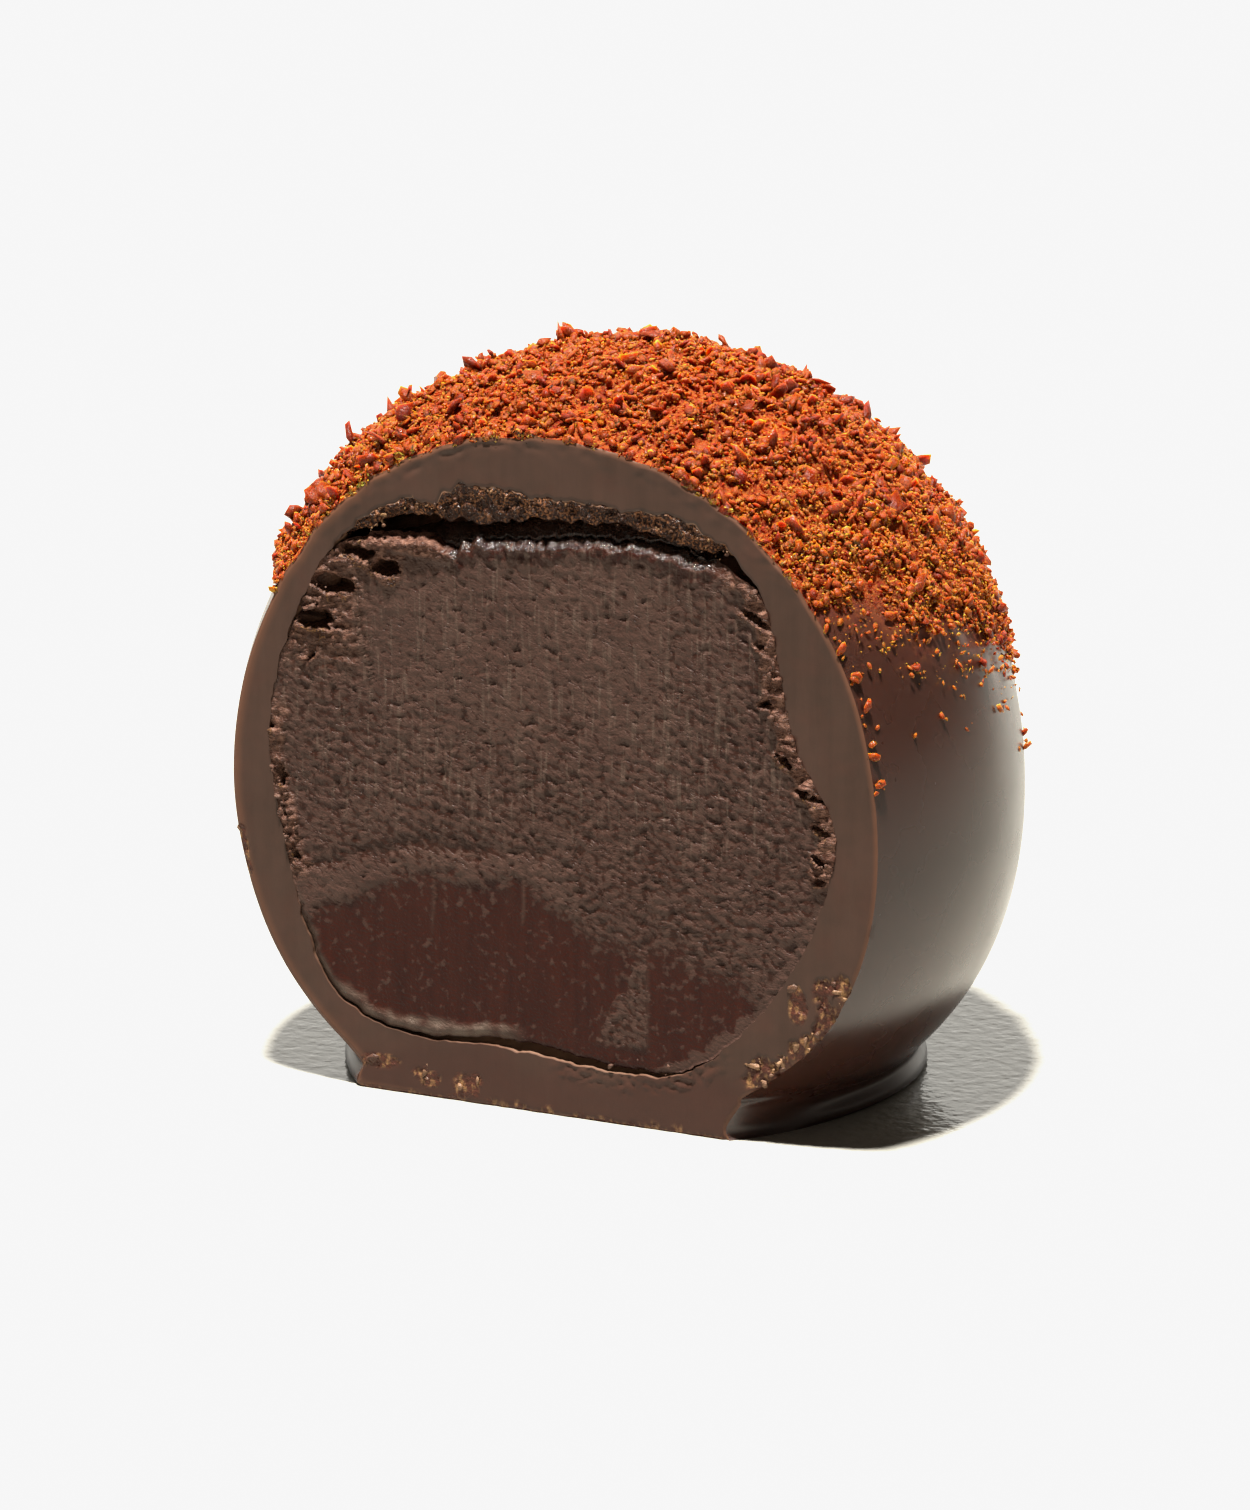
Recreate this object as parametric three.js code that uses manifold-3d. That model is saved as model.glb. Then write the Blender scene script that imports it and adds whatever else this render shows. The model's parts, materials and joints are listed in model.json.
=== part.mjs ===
// Chocolate truffle, cut open in front: a dark chocolate shell standing on a small foot of set chocolate,
// a soft filling inside it, and chilli flakes stuck over the crown.
//
// Millimetres, +Z up. The origin lies on the underside of the foot, below the ball's middle.
// The cut is a plane that faces -Y. Two solids: the shell with its flakes, and the filling.

import * as THREE from 'three';
import { mergeGeometries, mergeVertices } from 'three/addons/utils/BufferGeometryUtils.js';
import Module from 'manifold-3d';

const wasm = await Module();
wasm.setup();
const { degToRad, radToDeg, clamp, smoothstep, euclideanModulo } = THREE.MathUtils;

// ---- Driving dimensions of the ball

const BALL_MIDDLE = new THREE.Vector3(0.71, 0, 11.16);
const BALL_RADIUS = 15; // all round
const BALL_RISE = 16.68; // from the middle up to the crown
const BALL_DROP = 13.97; // from the middle down to where the full ball would end
const BALL_LEAN = -0.0486; // the ball leans this far about Y, in radians
const CUT_Y = -6.875; // the knife's plane

// Hand-made unevenness. Angles in degrees: azimuth from +X towards +Y, polar from the crown.
const SWELLS = [
  { name: 'flattened crown', azimuth: -90, polar: 25, height: -0.25, spread: 24 },
  { name: 'right shoulder', azimuth: -31, polar: 62, height: 0.18, spread: 14 },
  { name: 'left cheek', azimuth: -152, polar: 103, height: -0.18, spread: 16 },
  { name: 'right haunch', azimuth: 26, polar: 122, height: 0.4, spread: 20 },
];

// ---- Driving dimensions of the foot

const FOOT_RADIUS = 11.1;
const FOOT_Y = 1.2; // the foot has run back a little from under the ball
const FOOT_SWELLS = [
  { name: 'right lobe', azimuth: 26, height: 0.55, spread: 75 },
  { name: 'left toe', azimuth: -132, height: 0.35, spread: 15 },
];
const BALL_END_Z = 1.75; // the ball's skin runs into the foot's neck here
const FOOT_PROFILE = [
  { z: 1.2, inset: 0.42 }, // neck
  { z: 0.95, inset: 0.24 },
  { z: 0.72, inset: 0.05 }, // lip
  { z: 0.4, inset: 0 },
  { z: 0.1, inset: 0.02 },
  { z: 0, inset: 0.12 },
];

// ---- Driving dimensions of the filling and of the hollow that holds it

const FACE_MIDDLE = { x: 0.6, z: 12.3 }; // middle of the filling on the cut
const FULL_DEPTH_RADIUS = 13.55; // the filling is round from front to back
const DEPTH_STEPS = 10;
const CLEARANCE = 0.15; // between the filling and the shell, all round
const GROOVE_DEPTH = 1.3; // the crumbled groove round the filling is this deep
const ROOF_GAP = 0.7; // open gap above the filling
const ROOF_GAP_DEPTH = 7; // how far back that gap reaches
const RAGGEDNESS = 0.16; // of the filling's torn edge

// Distances from the middle of the face, every 15 degrees from +X towards +Z.
const FILLING_EDGE = [
  10.8, 9.8, 10.2, 11.2, 11.1, 10.3, 9.8, 9.7, 10.3, 11.1, 10.6, 11.2,
  11.1, 11.0, 11.3, 11.8, 10.6, 9.6, 9.3, 9.6, 10.3, 11.1, 11.2, 11.1,
];
const SHELL_EDGE = [
  11.8, 10.7, 11.1, 12.3, 12.4, 11.6, 11.3, 11.8, 12.2, 12.3, 11.9, 11.7,
  11.5, 11.3, 11.8, 12.4, 11.5, 10.3, 10.1, 10.7, 11.5, 11.5, 11.5, 11.7,
];

// Tears in the filling's upper left corner: middle, half sizes across, into and up the face, and slope.
const TEARS = [
  { x: -6.3, z: 20.55, half: [1.7, 1.3, 0.3], slope: 4 },
  { x: -8.2, z: 18.55, half: [1.3, 1.1, 0.26], slope: 10 },
  { x: -8.9, z: 17.3, half: [1.3, 1.0, 0.22], slope: 12 },
];

// Chips broken from the shell's rim on the cut: middle and half sizes.
const CHIPS = [
  { x: 12.4, z: 5.0, half: [0.7, 0.8, 1.5] },
  { x: 9.35, z: 2.35, half: [0.9, 0.7, 0.6] },
  { x: -12.1, z: 8.7, half: [0.4, 0.5, 1.2] },
];

// ---- Driving dimensions of the chilli topping

const TOPPING_EDGE_Z = 17.2; // height of the topping's lower edge beside the ball's middle
const TOPPING_SLOPE = 0.28; // the edge sinks this much for each millimetre towards the back
const GRIT_HEIGHT = 0.3; // fine grit that covers the shell between the flakes
const GRIT_SPACING = 3.1; // between the middles of its clumps
const GRIT_BAND = 1.5; // it thins out over this height at the topping's lower edge
const FLAKES_ON_WHOLE_BALL = 640; // spread evenly, and kept only where the topping is
const FLAKE_LENGTH = [0.8, 1.4];
const FLAKE_WIDTH = [0.55, 0.9];
const FLAKE_THICKNESS = [0.4, 0.65];
const FLAKE_SUNK = 0.08; // a flake's middle lies this far under the grit
const FLAKE_TO_CUT = 0.75; // no flake's middle is nearer to the cut

// ---- How finely the surfaces are divided

const AROUND = 64;
const BALL_RINGS = 24;
const FACE_POINTS = 72;

// ---- Helpers

/** A repeatable random number from 0 to 1 for item n and purpose k. */
function chance(n, k) {
  const s = Math.sin(n * 12.9898 + k * 78.233) * 43758.5453;
  return s - Math.floor(s);
}

/** A repeatable random number within a [low, high] range. */
function pick([low, high], n, k) {
  return low + (high - low) * chance(n, k);
}

/** Falls from 1 to 0 while x runs from 0 to reach. */
function fade(x, reach) {
  return clamp(1 - x / reach, 0, 1);
}

/** Smooth closed curve through equally spaced radii, read at an angle in radians. */
function smoothRadius(radii, angle) {
  const at = euclideanModulo(angle / (2 * Math.PI), 1) * radii.length;
  const i = Math.floor(at);
  const t = at - i;
  const [a, b, c, d] = [-1, 0, 1, 2].map((k) => radii[(i + k + radii.length) % radii.length]);
  return b + 0.5 * t * (c - a + t * (2 * a - 5 * b + 4 * c - d + t * (3 * (b - c) + d - a)));
}

/** Closed surface through rings of equal length, with a fan to a middle point at each end. */
function loft(firstMiddle, rings, lastMiddle) {
  const size = rings[0].length;
  const points = [firstMiddle, ...rings.flat(), lastMiddle];
  const last = points.length - 1;
  const index = [];
  for (let j = 0; j < size; j++) {
    const next = (j + 1) % size;
    index.push(0, 1 + j, 1 + next);
    for (let k = 0; k < rings.length - 1; k++) {
      const a = 1 + k * size;
      const b = a + size;
      index.push(a + j, b + j, b + next, a + j, b + next, a + next);
    }
    const end = last - size;
    index.push(last, end + next, end + j);
  }
  const geometry = new THREE.BufferGeometry().setFromPoints(points);
  geometry.setIndex(index);
  return geometry;
}

/** The solid inside a closed geometry. */
function solidOf(geometry) {
  const bare = geometry.clone();
  bare.deleteAttribute('normal');
  bare.deleteAttribute('uv');
  const merged = mergeVertices(bare, 1e-5);
  const mesh = new wasm.Mesh({
    numProp: 3,
    vertProperties: new Float32Array(merged.attributes.position.array),
    triVerts: new Uint32Array(merged.index.array),
  });
  return new wasm.Manifold(mesh);
}

/** A solid's surface as a geometry. */
function geometryOf(solid) {
  const mesh = solid.getMesh();
  const geometry = new THREE.BufferGeometry();
  geometry.setAttribute('position', new THREE.BufferAttribute(mesh.vertProperties, 3));
  geometry.setIndex(new THREE.BufferAttribute(mesh.triVerts, 1));
  geometry.computeVertexNormals();
  return geometry;
}

/** A rough lump with 20 faces, half sizes given along X, Y and Z, each corner moved by up to `jag`. */
function lump([x, y, z], jag, seed) {
  const raw = new THREE.IcosahedronGeometry(1, 0);
  raw.deleteAttribute('normal');
  raw.deleteAttribute('uv');
  const geometry = mergeVertices(raw);
  const position = geometry.attributes.position;
  for (let i = 0; i < position.count; i++) {
    const size = 1 + jag * (2 * chance(seed + i, 3) - 1);
    position.setXYZ(i, position.getX(i) * x * size, position.getY(i) * y * size, position.getZ(i) * z * size);
  }
  return geometry;
}

// ---- The ball's surface

function direction(azimuth, polar) {
  const across = Math.sin(polar);
  return new THREE.Vector3(across * Math.cos(azimuth), across * Math.sin(azimuth), Math.cos(polar));
}

/** Height that a list of swells adds along a way out from the middle. */
function unevenness(way, swells) {
  let height = 0;
  for (const swell of swells) {
    const middle = direction(degToRad(swell.azimuth), degToRad(swell.polar ?? 90));
    const off = radToDeg(way.angleTo(middle)) / swell.spread;
    height += swell.height * Math.exp(-off * off);
  }
  return height;
}

/** Point of the ball's skin, raised by `lift`, at angles in radians. */
function ballPoint(azimuth, polar, lift = 0) {
  const way = direction(azimuth, polar);
  const point = new THREE.Vector3(
    BALL_RADIUS * way.x,
    BALL_RADIUS * way.y,
    (way.z > 0 ? BALL_RISE : BALL_DROP) * way.z,
  );
  point.addScaledVector(way, unevenness(way, SWELLS) + lift);
  return point.applyAxisAngle(new THREE.Vector3(0, 1, 0), -BALL_LEAN).add(BALL_MIDDLE);
}

/** Polar angle at which the ball's skin comes down to height z. */
function polarAtHeight(azimuth, z) {
  let above = Math.PI / 2;
  let below = Math.PI;
  for (let i = 0; i < 30; i++) {
    const middle = (above + below) / 2;
    if (ballPoint(azimuth, middle).z > z) above = middle;
    else below = middle;
  }
  return (above + below) / 2;
}

function toppingEdge(y) {
  return TOPPING_EDGE_Z - TOPPING_SLOPE * y;
}

/** Height of the fine grit at a point of the skin: rounded clumps, thinning out at the topping's edge. */
function grit({ x, y, z }) {
  const turn = (2 * Math.PI) / GRIT_SPACING;
  const alongX = Math.sin(turn * x + 2 * Math.sin(0.6 * turn * z));
  const alongY = Math.sin(turn * y + 2 * Math.sin(0.7 * turn * x));
  const cover = fade(toppingEdge(y) + GRIT_BAND - z, GRIT_BAND);
  return (GRIT_HEIGHT * cover * (1 + alongX * alongY)) / 2;
}

// ---- The shell

/** The whole truffle before it is cut: the ball, its grit, and the foot. */
function outerBody() {
  const azimuths = Array.from({ length: AROUND }, (_, j) => (2 * Math.PI * j) / AROUND);
  const rings = [];
  for (let k = 1; k <= BALL_RINGS; k++) {
    rings.push(azimuths.map((azimuth) => {
      const polar = (polarAtHeight(azimuth, BALL_END_Z) * k) / BALL_RINGS;
      return ballPoint(azimuth, polar, grit(ballPoint(azimuth, polar)));
    }));
  }
  for (const { z, inset } of FOOT_PROFILE) {
    rings.push(azimuths.map((azimuth) => {
      const way = direction(azimuth, Math.PI / 2);
      const radius = FOOT_RADIUS + unevenness(way, FOOT_SWELLS) - inset;
      return new THREE.Vector3(radius * way.x, FOOT_Y + radius * way.y, z);
    }));
  }
  const crown = ballPoint(0, 0, grit(ballPoint(0, 0)));
  return solidOf(loft(crown, rings, new THREE.Vector3(0, FOOT_Y, 0)));
}

/** All the flakes on the crown. They lie apart, so they stay one geometry. */
function flakes() {
  const goldenAngle = Math.PI * (3 - Math.sqrt(5));
  const placed = [];
  for (let i = 0; i < FLAKES_ON_WHOLE_BALL; i++) {
    const polar = Math.acos(1 - (2 * i + 1) / FLAKES_ON_WHOLE_BALL);
    const azimuth = i * goldenAngle;
    const spot = ballPoint(azimuth, polar, GRIT_HEIGHT / 2 - FLAKE_SUNK);
    if (spot.z < toppingEdge(spot.y) || spot.y < CUT_Y + FLAKE_TO_CUT) continue;
    const half = [FLAKE_LENGTH, FLAKE_WIDTH, FLAKE_THICKNESS].map((range, k) => pick(range, i, k + 4) / 2);
    const flake = lump(half, 0.2, 20 * i);
    const tip = new THREE.Matrix4().makeRotationFromEuler(
      new THREE.Euler(pick([-0.6, 0.6], i, 7), pick([-0.9, 0.9], i, 8), pick([0, 2 * Math.PI], i, 9), 'ZYX'),
    );
    const outwards = new THREE.Quaternion().setFromUnitVectors(
      new THREE.Vector3(0, 0, 1),
      spot.clone().sub(BALL_MIDDLE).normalize(),
    );
    flake.applyMatrix4(tip);
    flake.applyQuaternion(outwards);
    flake.translate(spot.x, spot.y, spot.z);
    placed.push(flake);
  }
  return solidOf(mergeGeometries(placed));
}

// ---- The filling and its hollow

/** How much wider the filling is at a depth behind the cut than on the cut. */
function spreadAt(y) {
  const across = (depth) => Math.sqrt(Math.max(FULL_DEPTH_RADIUS ** 2 - depth ** 2, 0));
  return across(y) / across(CUT_Y);
}

/** The open gap above the filling, by the angle round its face. */
function roofGap(angle) {
  const offTop = Math.abs(radToDeg(angle) - 98);
  return ROOF_GAP * smoothstep(55 - offTop, 0, 25);
}

function facePoint(angle, radius, y) {
  return new THREE.Vector3(
    FACE_MIDDLE.x + radius * Math.cos(angle),
    y,
    FACE_MIDDLE.z + radius * Math.sin(angle),
  );
}

/** Rings round the filling from depth `front` to its back, with radius(angle, y, index) for each point. */
function depthRings(front, radius) {
  const rings = [];
  const back = FULL_DEPTH_RADIUS * 0.985;
  for (let k = 0; k <= DEPTH_STEPS; k++) {
    // Closer together at both ends: near the cut, and where the back rounds off.
    const share = (1 - Math.cos((Math.PI * k) / DEPTH_STEPS)) / 2;
    const y = front + (back - front) * share;
    rings.push(Array.from({ length: FACE_POINTS }, (_, j) => {
      const angle = (2 * Math.PI * j) / FACE_POINTS;
      return facePoint(angle, radius(angle, y, j), y);
    }));
  }
  return rings;
}

function fillingBody() {
  const rings = depthRings(CUT_Y, (angle, y, j) => {
    const torn = RAGGEDNESS * chance(j, 2) * fade(y - CUT_Y, GROOVE_DEPTH);
    return smoothRadius(FILLING_EDGE, angle) * spreadAt(y) - torn;
  });
  const front = facePoint(0, 0, CUT_Y);
  const back = facePoint(0, 0, FULL_DEPTH_RADIUS);
  return solidOf(loft(front, rings, back));
}

/** The room in the shell: the filling with its clearance, the groove round its face and the roof gap. */
function hollowBody() {
  const radius = (angle, y, j) => {
    const depth = Math.max(y - CUT_Y, 0);
    const edge = smoothRadius(FILLING_EDGE, angle);
    const gap = roofGap(angle);
    const groove = Math.max(smoothRadius(SHELL_EDGE, angle) - edge - gap - CLEARANCE, 0);
    const crumbled = groove * (1 - 0.25 * chance(j, 5)) * fade(depth, GROOVE_DEPTH);
    return edge * spreadAt(Math.max(y, CUT_Y)) + CLEARANCE + crumbled + gap * fade(depth, ROOF_GAP_DEPTH);
  };
  const rings = depthRings(CUT_Y, radius);
  const inFront = rings[0].map((point) => point.clone().setY(CUT_Y - 1));
  const front = facePoint(0, 0, CUT_Y - 1);
  const back = facePoint(0, 0, FULL_DEPTH_RADIUS + CLEARANCE);
  return solidOf(loft(front, [inFront, ...rings], back));
}

// ---- What the knife and handling took away

function cutAway() {
  const size = 4 * BALL_RADIUS;
  const block = new THREE.BoxGeometry(size, size, size);
  block.translate(0, CUT_Y - size / 2, BALL_MIDDLE.z);
  return solidOf(block);
}

function scoop({ x, z, half, slope = 0 }, seed) {
  const geometry = lump(half, 0.12, seed);
  geometry.rotateY(-degToRad(slope));
  geometry.translate(x, CUT_Y, z);
  return solidOf(geometry);
}

// ---- Assembly

let shell = outerBody().add(flakes()).subtract(cutAway()).subtract(hollowBody());
CHIPS.forEach((chip, i) => {
  shell = shell.subtract(scoop(chip, 900 + 20 * i));
});

let filling = fillingBody();
TEARS.forEach((tear, i) => {
  filling = filling.subtract(scoop(tear, 700 + 20 * i));
});

const shellMesh = new THREE.Mesh(
  geometryOf(shell),
  new THREE.MeshStandardMaterial({ color: 0x3a241d, roughness: 0.35, metalness: 0 }),
);
shellMesh.name = 'shell';

const fillingMesh = new THREE.Mesh(
  geometryOf(filling),
  new THREE.MeshStandardMaterial({ color: 0x4a3a32, roughness: 0.6, metalness: 0 }),
);
fillingMesh.name = 'ganache';

const truffle = new THREE.Group();
truffle.add(shellMesh, fillingMesh);

export default truffle;
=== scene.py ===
"""Chocolate truffle with chilli flakes over its crown, cut open in front: its fine surfaces and crumbs."""

import json
import math

import bpy
import numpy as np
from bpy.props import FloatProperty, FloatVectorProperty, IntProperty, PointerProperty
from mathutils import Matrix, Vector

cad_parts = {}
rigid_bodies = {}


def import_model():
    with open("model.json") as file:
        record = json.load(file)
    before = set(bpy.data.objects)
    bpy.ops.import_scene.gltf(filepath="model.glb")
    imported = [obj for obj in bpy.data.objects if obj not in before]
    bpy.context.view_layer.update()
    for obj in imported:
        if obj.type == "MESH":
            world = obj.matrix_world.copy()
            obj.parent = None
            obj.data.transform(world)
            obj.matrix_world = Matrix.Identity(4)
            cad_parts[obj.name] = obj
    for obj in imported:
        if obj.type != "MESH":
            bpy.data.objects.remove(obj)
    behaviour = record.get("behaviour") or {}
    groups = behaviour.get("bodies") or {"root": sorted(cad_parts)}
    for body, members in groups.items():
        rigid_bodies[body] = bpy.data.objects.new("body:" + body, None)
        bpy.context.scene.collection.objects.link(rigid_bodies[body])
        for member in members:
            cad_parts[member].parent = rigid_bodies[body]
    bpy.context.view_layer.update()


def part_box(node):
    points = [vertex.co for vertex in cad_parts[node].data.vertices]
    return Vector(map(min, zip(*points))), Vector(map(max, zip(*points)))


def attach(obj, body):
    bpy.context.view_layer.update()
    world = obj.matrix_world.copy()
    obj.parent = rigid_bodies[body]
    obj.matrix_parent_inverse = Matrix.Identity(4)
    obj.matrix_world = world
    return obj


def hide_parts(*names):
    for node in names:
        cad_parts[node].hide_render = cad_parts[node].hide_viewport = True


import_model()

bl_info = {
    "name": "Chocolate truffle with chilli flakes",
    "version": (1, 0, 0),
    "blender": (4, 5, 0),
    "location": "View3D > Sidebar > Truffle",
    "description": "Builds the shell, filling, chilli flakes and crumbs of a cut chocolate truffle",
    "category": "Add Mesh",
}

MM = 0.001

# ---- The truffle's own sizes, in millimetres, as its solids have them

CUT_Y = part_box("ganache")[0][1] / MM  # the knife's plane
BALL_MIDDLE = np.array((0.71, 0.0, 11.16))
BALL_RADIUS = 15.0
BALL_RISE = 16.68  # from the middle up to the crown
BALL_DROP = 13.97  # from the middle down to where the full ball would end
BALL_LEAN = 0.0486  # about Y, in radians
BALL_END_Z = 1.75  # the ball's skin runs into the foot's neck here

# Hand-made unevenness: azimuth from +X towards +Y, angle from the crown, height, and spread in degrees.
SWELLS = (
    (-90, 25, -0.25, 24),  # flattened crown
    (-31, 62, 0.18, 14),  # right shoulder
    (-152, 103, -0.18, 16),  # left cheek
    (26, 122, 0.4, 20),  # right haunch
    (-37, 133, -0.4, 13),  # lower right corner of the cut
)
FOOT_RADIUS = 11.1
FOOT_Y = 1.2  # the foot's middle lies this far behind the ball's
FOOT_TOP_Z = 1.2  # below this the skin has the foot's finish
FOOT_STEPS = 4  # rings from one height of its profile to the next
FOOT_SWELLS = (
    (26, 90, 0.55, 75),  # right lobe
    (-150, 90, -0.35, 22),  # drawn in at the left
    (-46, 90, 0.30, 22),  # right toe
)
# The foot's side, from its neck down to the table: height, inset, and how far it follows the ball's end.
FOOT_PROFILE = (
    (1.45, 0.22, 0.70), (1.15, 0.34, 0.48), (0.90, 0.38, 0.30), (0.66, 0.24, 0.15),
    (0.44, 0.08, 0.05), (0.24, 0.02, 0.0), (0.10, 0.06, 0.0), (0.0, 0.22, 0.0),
)
# At the cut's right corner the side is hollow below: azimuth and spread in degrees, insets and shares.
CORNER_AZIMUTH, CORNER_SPREAD = 320, 15
CORNER_PROFILE = (
    (0.12, 0.90), (0.20, 0.70), (0.26, 0.50), (0.30, 0.30),
    (0.32, 0.15), (0.28, 0.05), (0.20, 0.0), (0.10, 0.0),
)

FACE_X, FACE_Z = 0.6, 12.3  # middle of the filling on the cut
FULL_DEPTH_RADIUS = 13.55  # the filling is round from front to back
LAST_RING_Y = 0.985 * FULL_DEPTH_RADIUS  # where the last ring before its back point stands
CLEARANCE = 0.15  # between the hidden part of the filling and the shell
ROOF_GAP = 0.7
ROOF_GAP_DEPTH = 7.0
ROOF_MIDDLE = 98  # degrees from +X towards +Z
TONGUE_AT = 113.5  # where a tongue of chocolate reaches into the gap, in degrees
# Distances from the middle of the face, every 15 degrees from +X towards +Z.
FILLING_EDGE = (
    10.8, 9.8, 10.2, 11.2, 11.1, 10.3, 9.8, 9.7, 10.3, 11.1, 10.6, 11.2,
    11.1, 11.0, 11.3, 11.8, 10.6, 9.6, 9.3, 9.6, 10.3, 11.1, 11.2, 11.1,
)
SHELL_EDGE = (
    11.8, 10.7, 11.1, 12.3, 12.4, 11.6, 11.3, 11.8, 12.2, 12.3, 11.9, 11.7,
    11.5, 11.3, 11.8, 12.4, 11.5, 10.3, 10.1, 10.7, 11.5, 11.5, 11.5, 11.7,
)
# Width of the crack that stays open between the filling and the shell, at the same angles.
CRACK = (
    -0.02, -0.02, -0.02, 0.10, 1.20, 1.28, 1.58, 2.05, 1.40, 0.10, 0.04, 0.0,
    -0.02, -0.02, 0.02, 0.03, 0.09, 0.28, 0.40, 0.30, 0.10, -0.02, -0.02, -0.02,
)
# How far torn filling hangs from the roof over that crack, at the same angles.
RESIDUE = (
    0.0, 0.0, 0.05, 0.45, 0.95, 0.72, 0.85, 1.30, 0.62, 0.12, 0.0, 0.0,
    0.0, 0.0, 0.0, 0.0, 0.0, 0.0, 0.0, 0.0, 0.0, 0.0, 0.0, 0.0,
)
TOPPING_EDGE_Z = 17.2  # height of the topping's lower edge beside the ball's middle
TOPPING_SLOPE = 0.28  # the edge sinks this much for each millimetre towards the back


# ---- Small tools


def linear(hex_colour):
    """The linear colour of an sRGB hex value such as #3a241d."""
    parts = (int(hex_colour[i : i + 2], 16) / 255 for i in (1, 3, 5))
    return tuple(c / 12.92 if c <= 0.04045 else ((c + 0.055) / 1.055) ** 2.4 for c in parts)


def smooth(x, start, end):
    """Runs smoothly from 0 at start to 1 at end."""
    t = np.clip((np.asarray(x, float) - start) / (end - start), 0, 1)
    return t * t * (3 - 2 * t)


def between(x, start, full, end, fade):
    """Runs smoothly from 0 at start to 1 at full, and back down over the last `fade` before end."""
    return smooth(x, start, full) * smooth(end - x, 0, fade)


def hump(off, width):
    """A bell-shaped ridge: 1 in its middle, fading over a distance of `width`."""
    return np.exp(-((off / width) ** 2))


def whole_degrees(angle):
    """An angle in radians as degrees from 0 to 360."""
    return np.degrees(np.mod(angle, 2 * math.pi))


def stacked(x, y, z):
    return np.stack([x, y, z], axis=-1)


def on_plane(x, z):
    """Places on the knife's plane, for relief and patterns."""
    return stacked(x, z, 0 * x)


def scrambled(cells, seed):
    """A repeatable random number from -1 to 1 for each whole-numbered cell."""
    mask = 0xFFFFFFFF
    n = cells[..., 0] * 374761393 + cells[..., 1] * 668265263 + cells[..., 2] * 1440662683 + seed * 97531
    n = n & mask
    for _ in range(2):
        n = ((n ^ (n >> 15)) * 73244475) & mask
    return (n ^ (n >> 16)) / (mask / 2) - 1


def noise(points, size, seed):
    """Smooth random relief from about -1 to 1, with bumps of that size; size may be given for each axis."""
    at = np.asarray(points, float) / np.asarray(size, float)
    cell = np.floor(at).astype(np.int64)
    part = at - cell
    ease = part**3 * (part * (part * 6 - 15) + 10)
    total = np.zeros(at.shape[:-1])
    for corner in np.ndindex(2, 2, 2):
        corner = np.array(corner)
        slope = np.stack([scrambled(cell + corner, seed + 7 * k) for k in range(3)], axis=-1)
        weight = np.prod(np.where(corner == 1, ease, 1 - ease), axis=-1)
        total += weight * np.sum(slope * (part - corner), axis=-1)
    return 1.7 * total


def rough(points, size, seed, layers=3):
    """Noise with finer noise on it."""
    return sum(noise(points, np.asarray(size) / 2**k, seed + 31 * k) / 1.8**k for k in range(layers))


def curve(a, b, c, d, t):
    """Smooth way from b at t = 0 to c at t = 1, on a line of points through a, b, c and d."""
    return b + 0.5 * t * (c - a + t * (2 * a - 5 * b + 4 * c - d + t * (3 * (b - c) + d - a)))


def around(radii, angle):
    """Smooth closed curve through equally spaced radii, read at angles in radians."""
    radii = np.asarray(radii, float)
    count = len(radii)
    at = np.mod(angle / (2 * math.pi), 1) * count
    i = np.floor(at).astype(int)
    t = at - i
    return curve(*(radii[(i + k) % count] for k in (-1, 0, 1, 2)), t)


def store(mesh, numbers):
    """Stores numbers, or places, point by point for a material's patterns or for a scatter."""
    for key, values in numbers.items():
        kind, field = ("FLOAT_VECTOR", "vector") if np.ndim(values) == 2 else ("FLOAT", "value")
        column = mesh.attributes.new(key, kind, "POINT").data
        column.foreach_set(field, np.asarray(values, np.float32).reshape(-1))


def mesh_object(name, points, faces, materials=(), numbers=None):
    """A mesh from points in millimetres, with numbers for its materials' patterns stored point by point."""
    mesh = bpy.data.meshes.new(name)
    mesh.from_pydata((np.asarray(points) * MM).tolist(), [], [list(map(int, face)) for face in faces])
    mesh.validate()
    store(mesh, numbers or {})
    for material in materials:
        mesh.materials.append(material)
    mesh.shade_smooth()
    shown = bpy.data.objects.new(name, mesh)
    bpy.context.scene.collection.objects.link(shown)
    return shown


def ring_faces(rings, size, start=0):
    """Four-sided faces between rings of `size` points that follow each other from point `start`."""
    j = np.arange(size)
    after = (j + 1) % size
    base = start + size * np.arange(rings - 1)[:, None]
    faces = np.stack([base + j, base + size + j, base + size + after, base + after], axis=-1)
    return faces.reshape(-1, 4).tolist()


def closed_loft(first, rings, last):
    """Points and faces of a closed surface: a middle point, rings of equal length, and a middle point."""
    rings = np.asarray(rings)
    count, size = rings.shape[:2]
    points = np.concatenate([[first], rings.reshape(-1, 3), [last]])
    end = len(points) - 1
    faces = ring_faces(count, size, 1)
    faces += [(0, 1 + j, 1 + (j + 1) % size) for j in range(size)]
    faces += [(end, end - size + (j + 1) % size, end - size + j) for j in range(size)]
    return points, faces


def points_of(shown):
    """A mesh object's points, in millimetres."""
    flat = np.empty(3 * len(shown.data.vertices), np.float32)
    shown.data.vertices.foreach_get("co", flat)
    return flat.reshape(-1, 3).astype(float) / MM


def evaluated(shown):
    """The object with its modifiers turned into plain mesh."""
    graph = bpy.context.evaluated_depsgraph_get()
    graph.update()
    mesh = bpy.data.meshes.new_from_object(shown.evaluated_get(graph), depsgraph=graph)
    shown.modifiers.clear()
    shown.data = mesh
    return shown


def hand_over(piece, slot, *nodes):
    """Ties a finished piece to the truffle's body and hides the solids that it stands for; its finish slot is
    not used.
    """
    if not piece.data.polygons:
        raise RuntimeError(f"{piece.name} came out empty")
    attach(piece, "root")
    if nodes:
        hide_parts(*nodes)


# ---- The ball's skin


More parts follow.
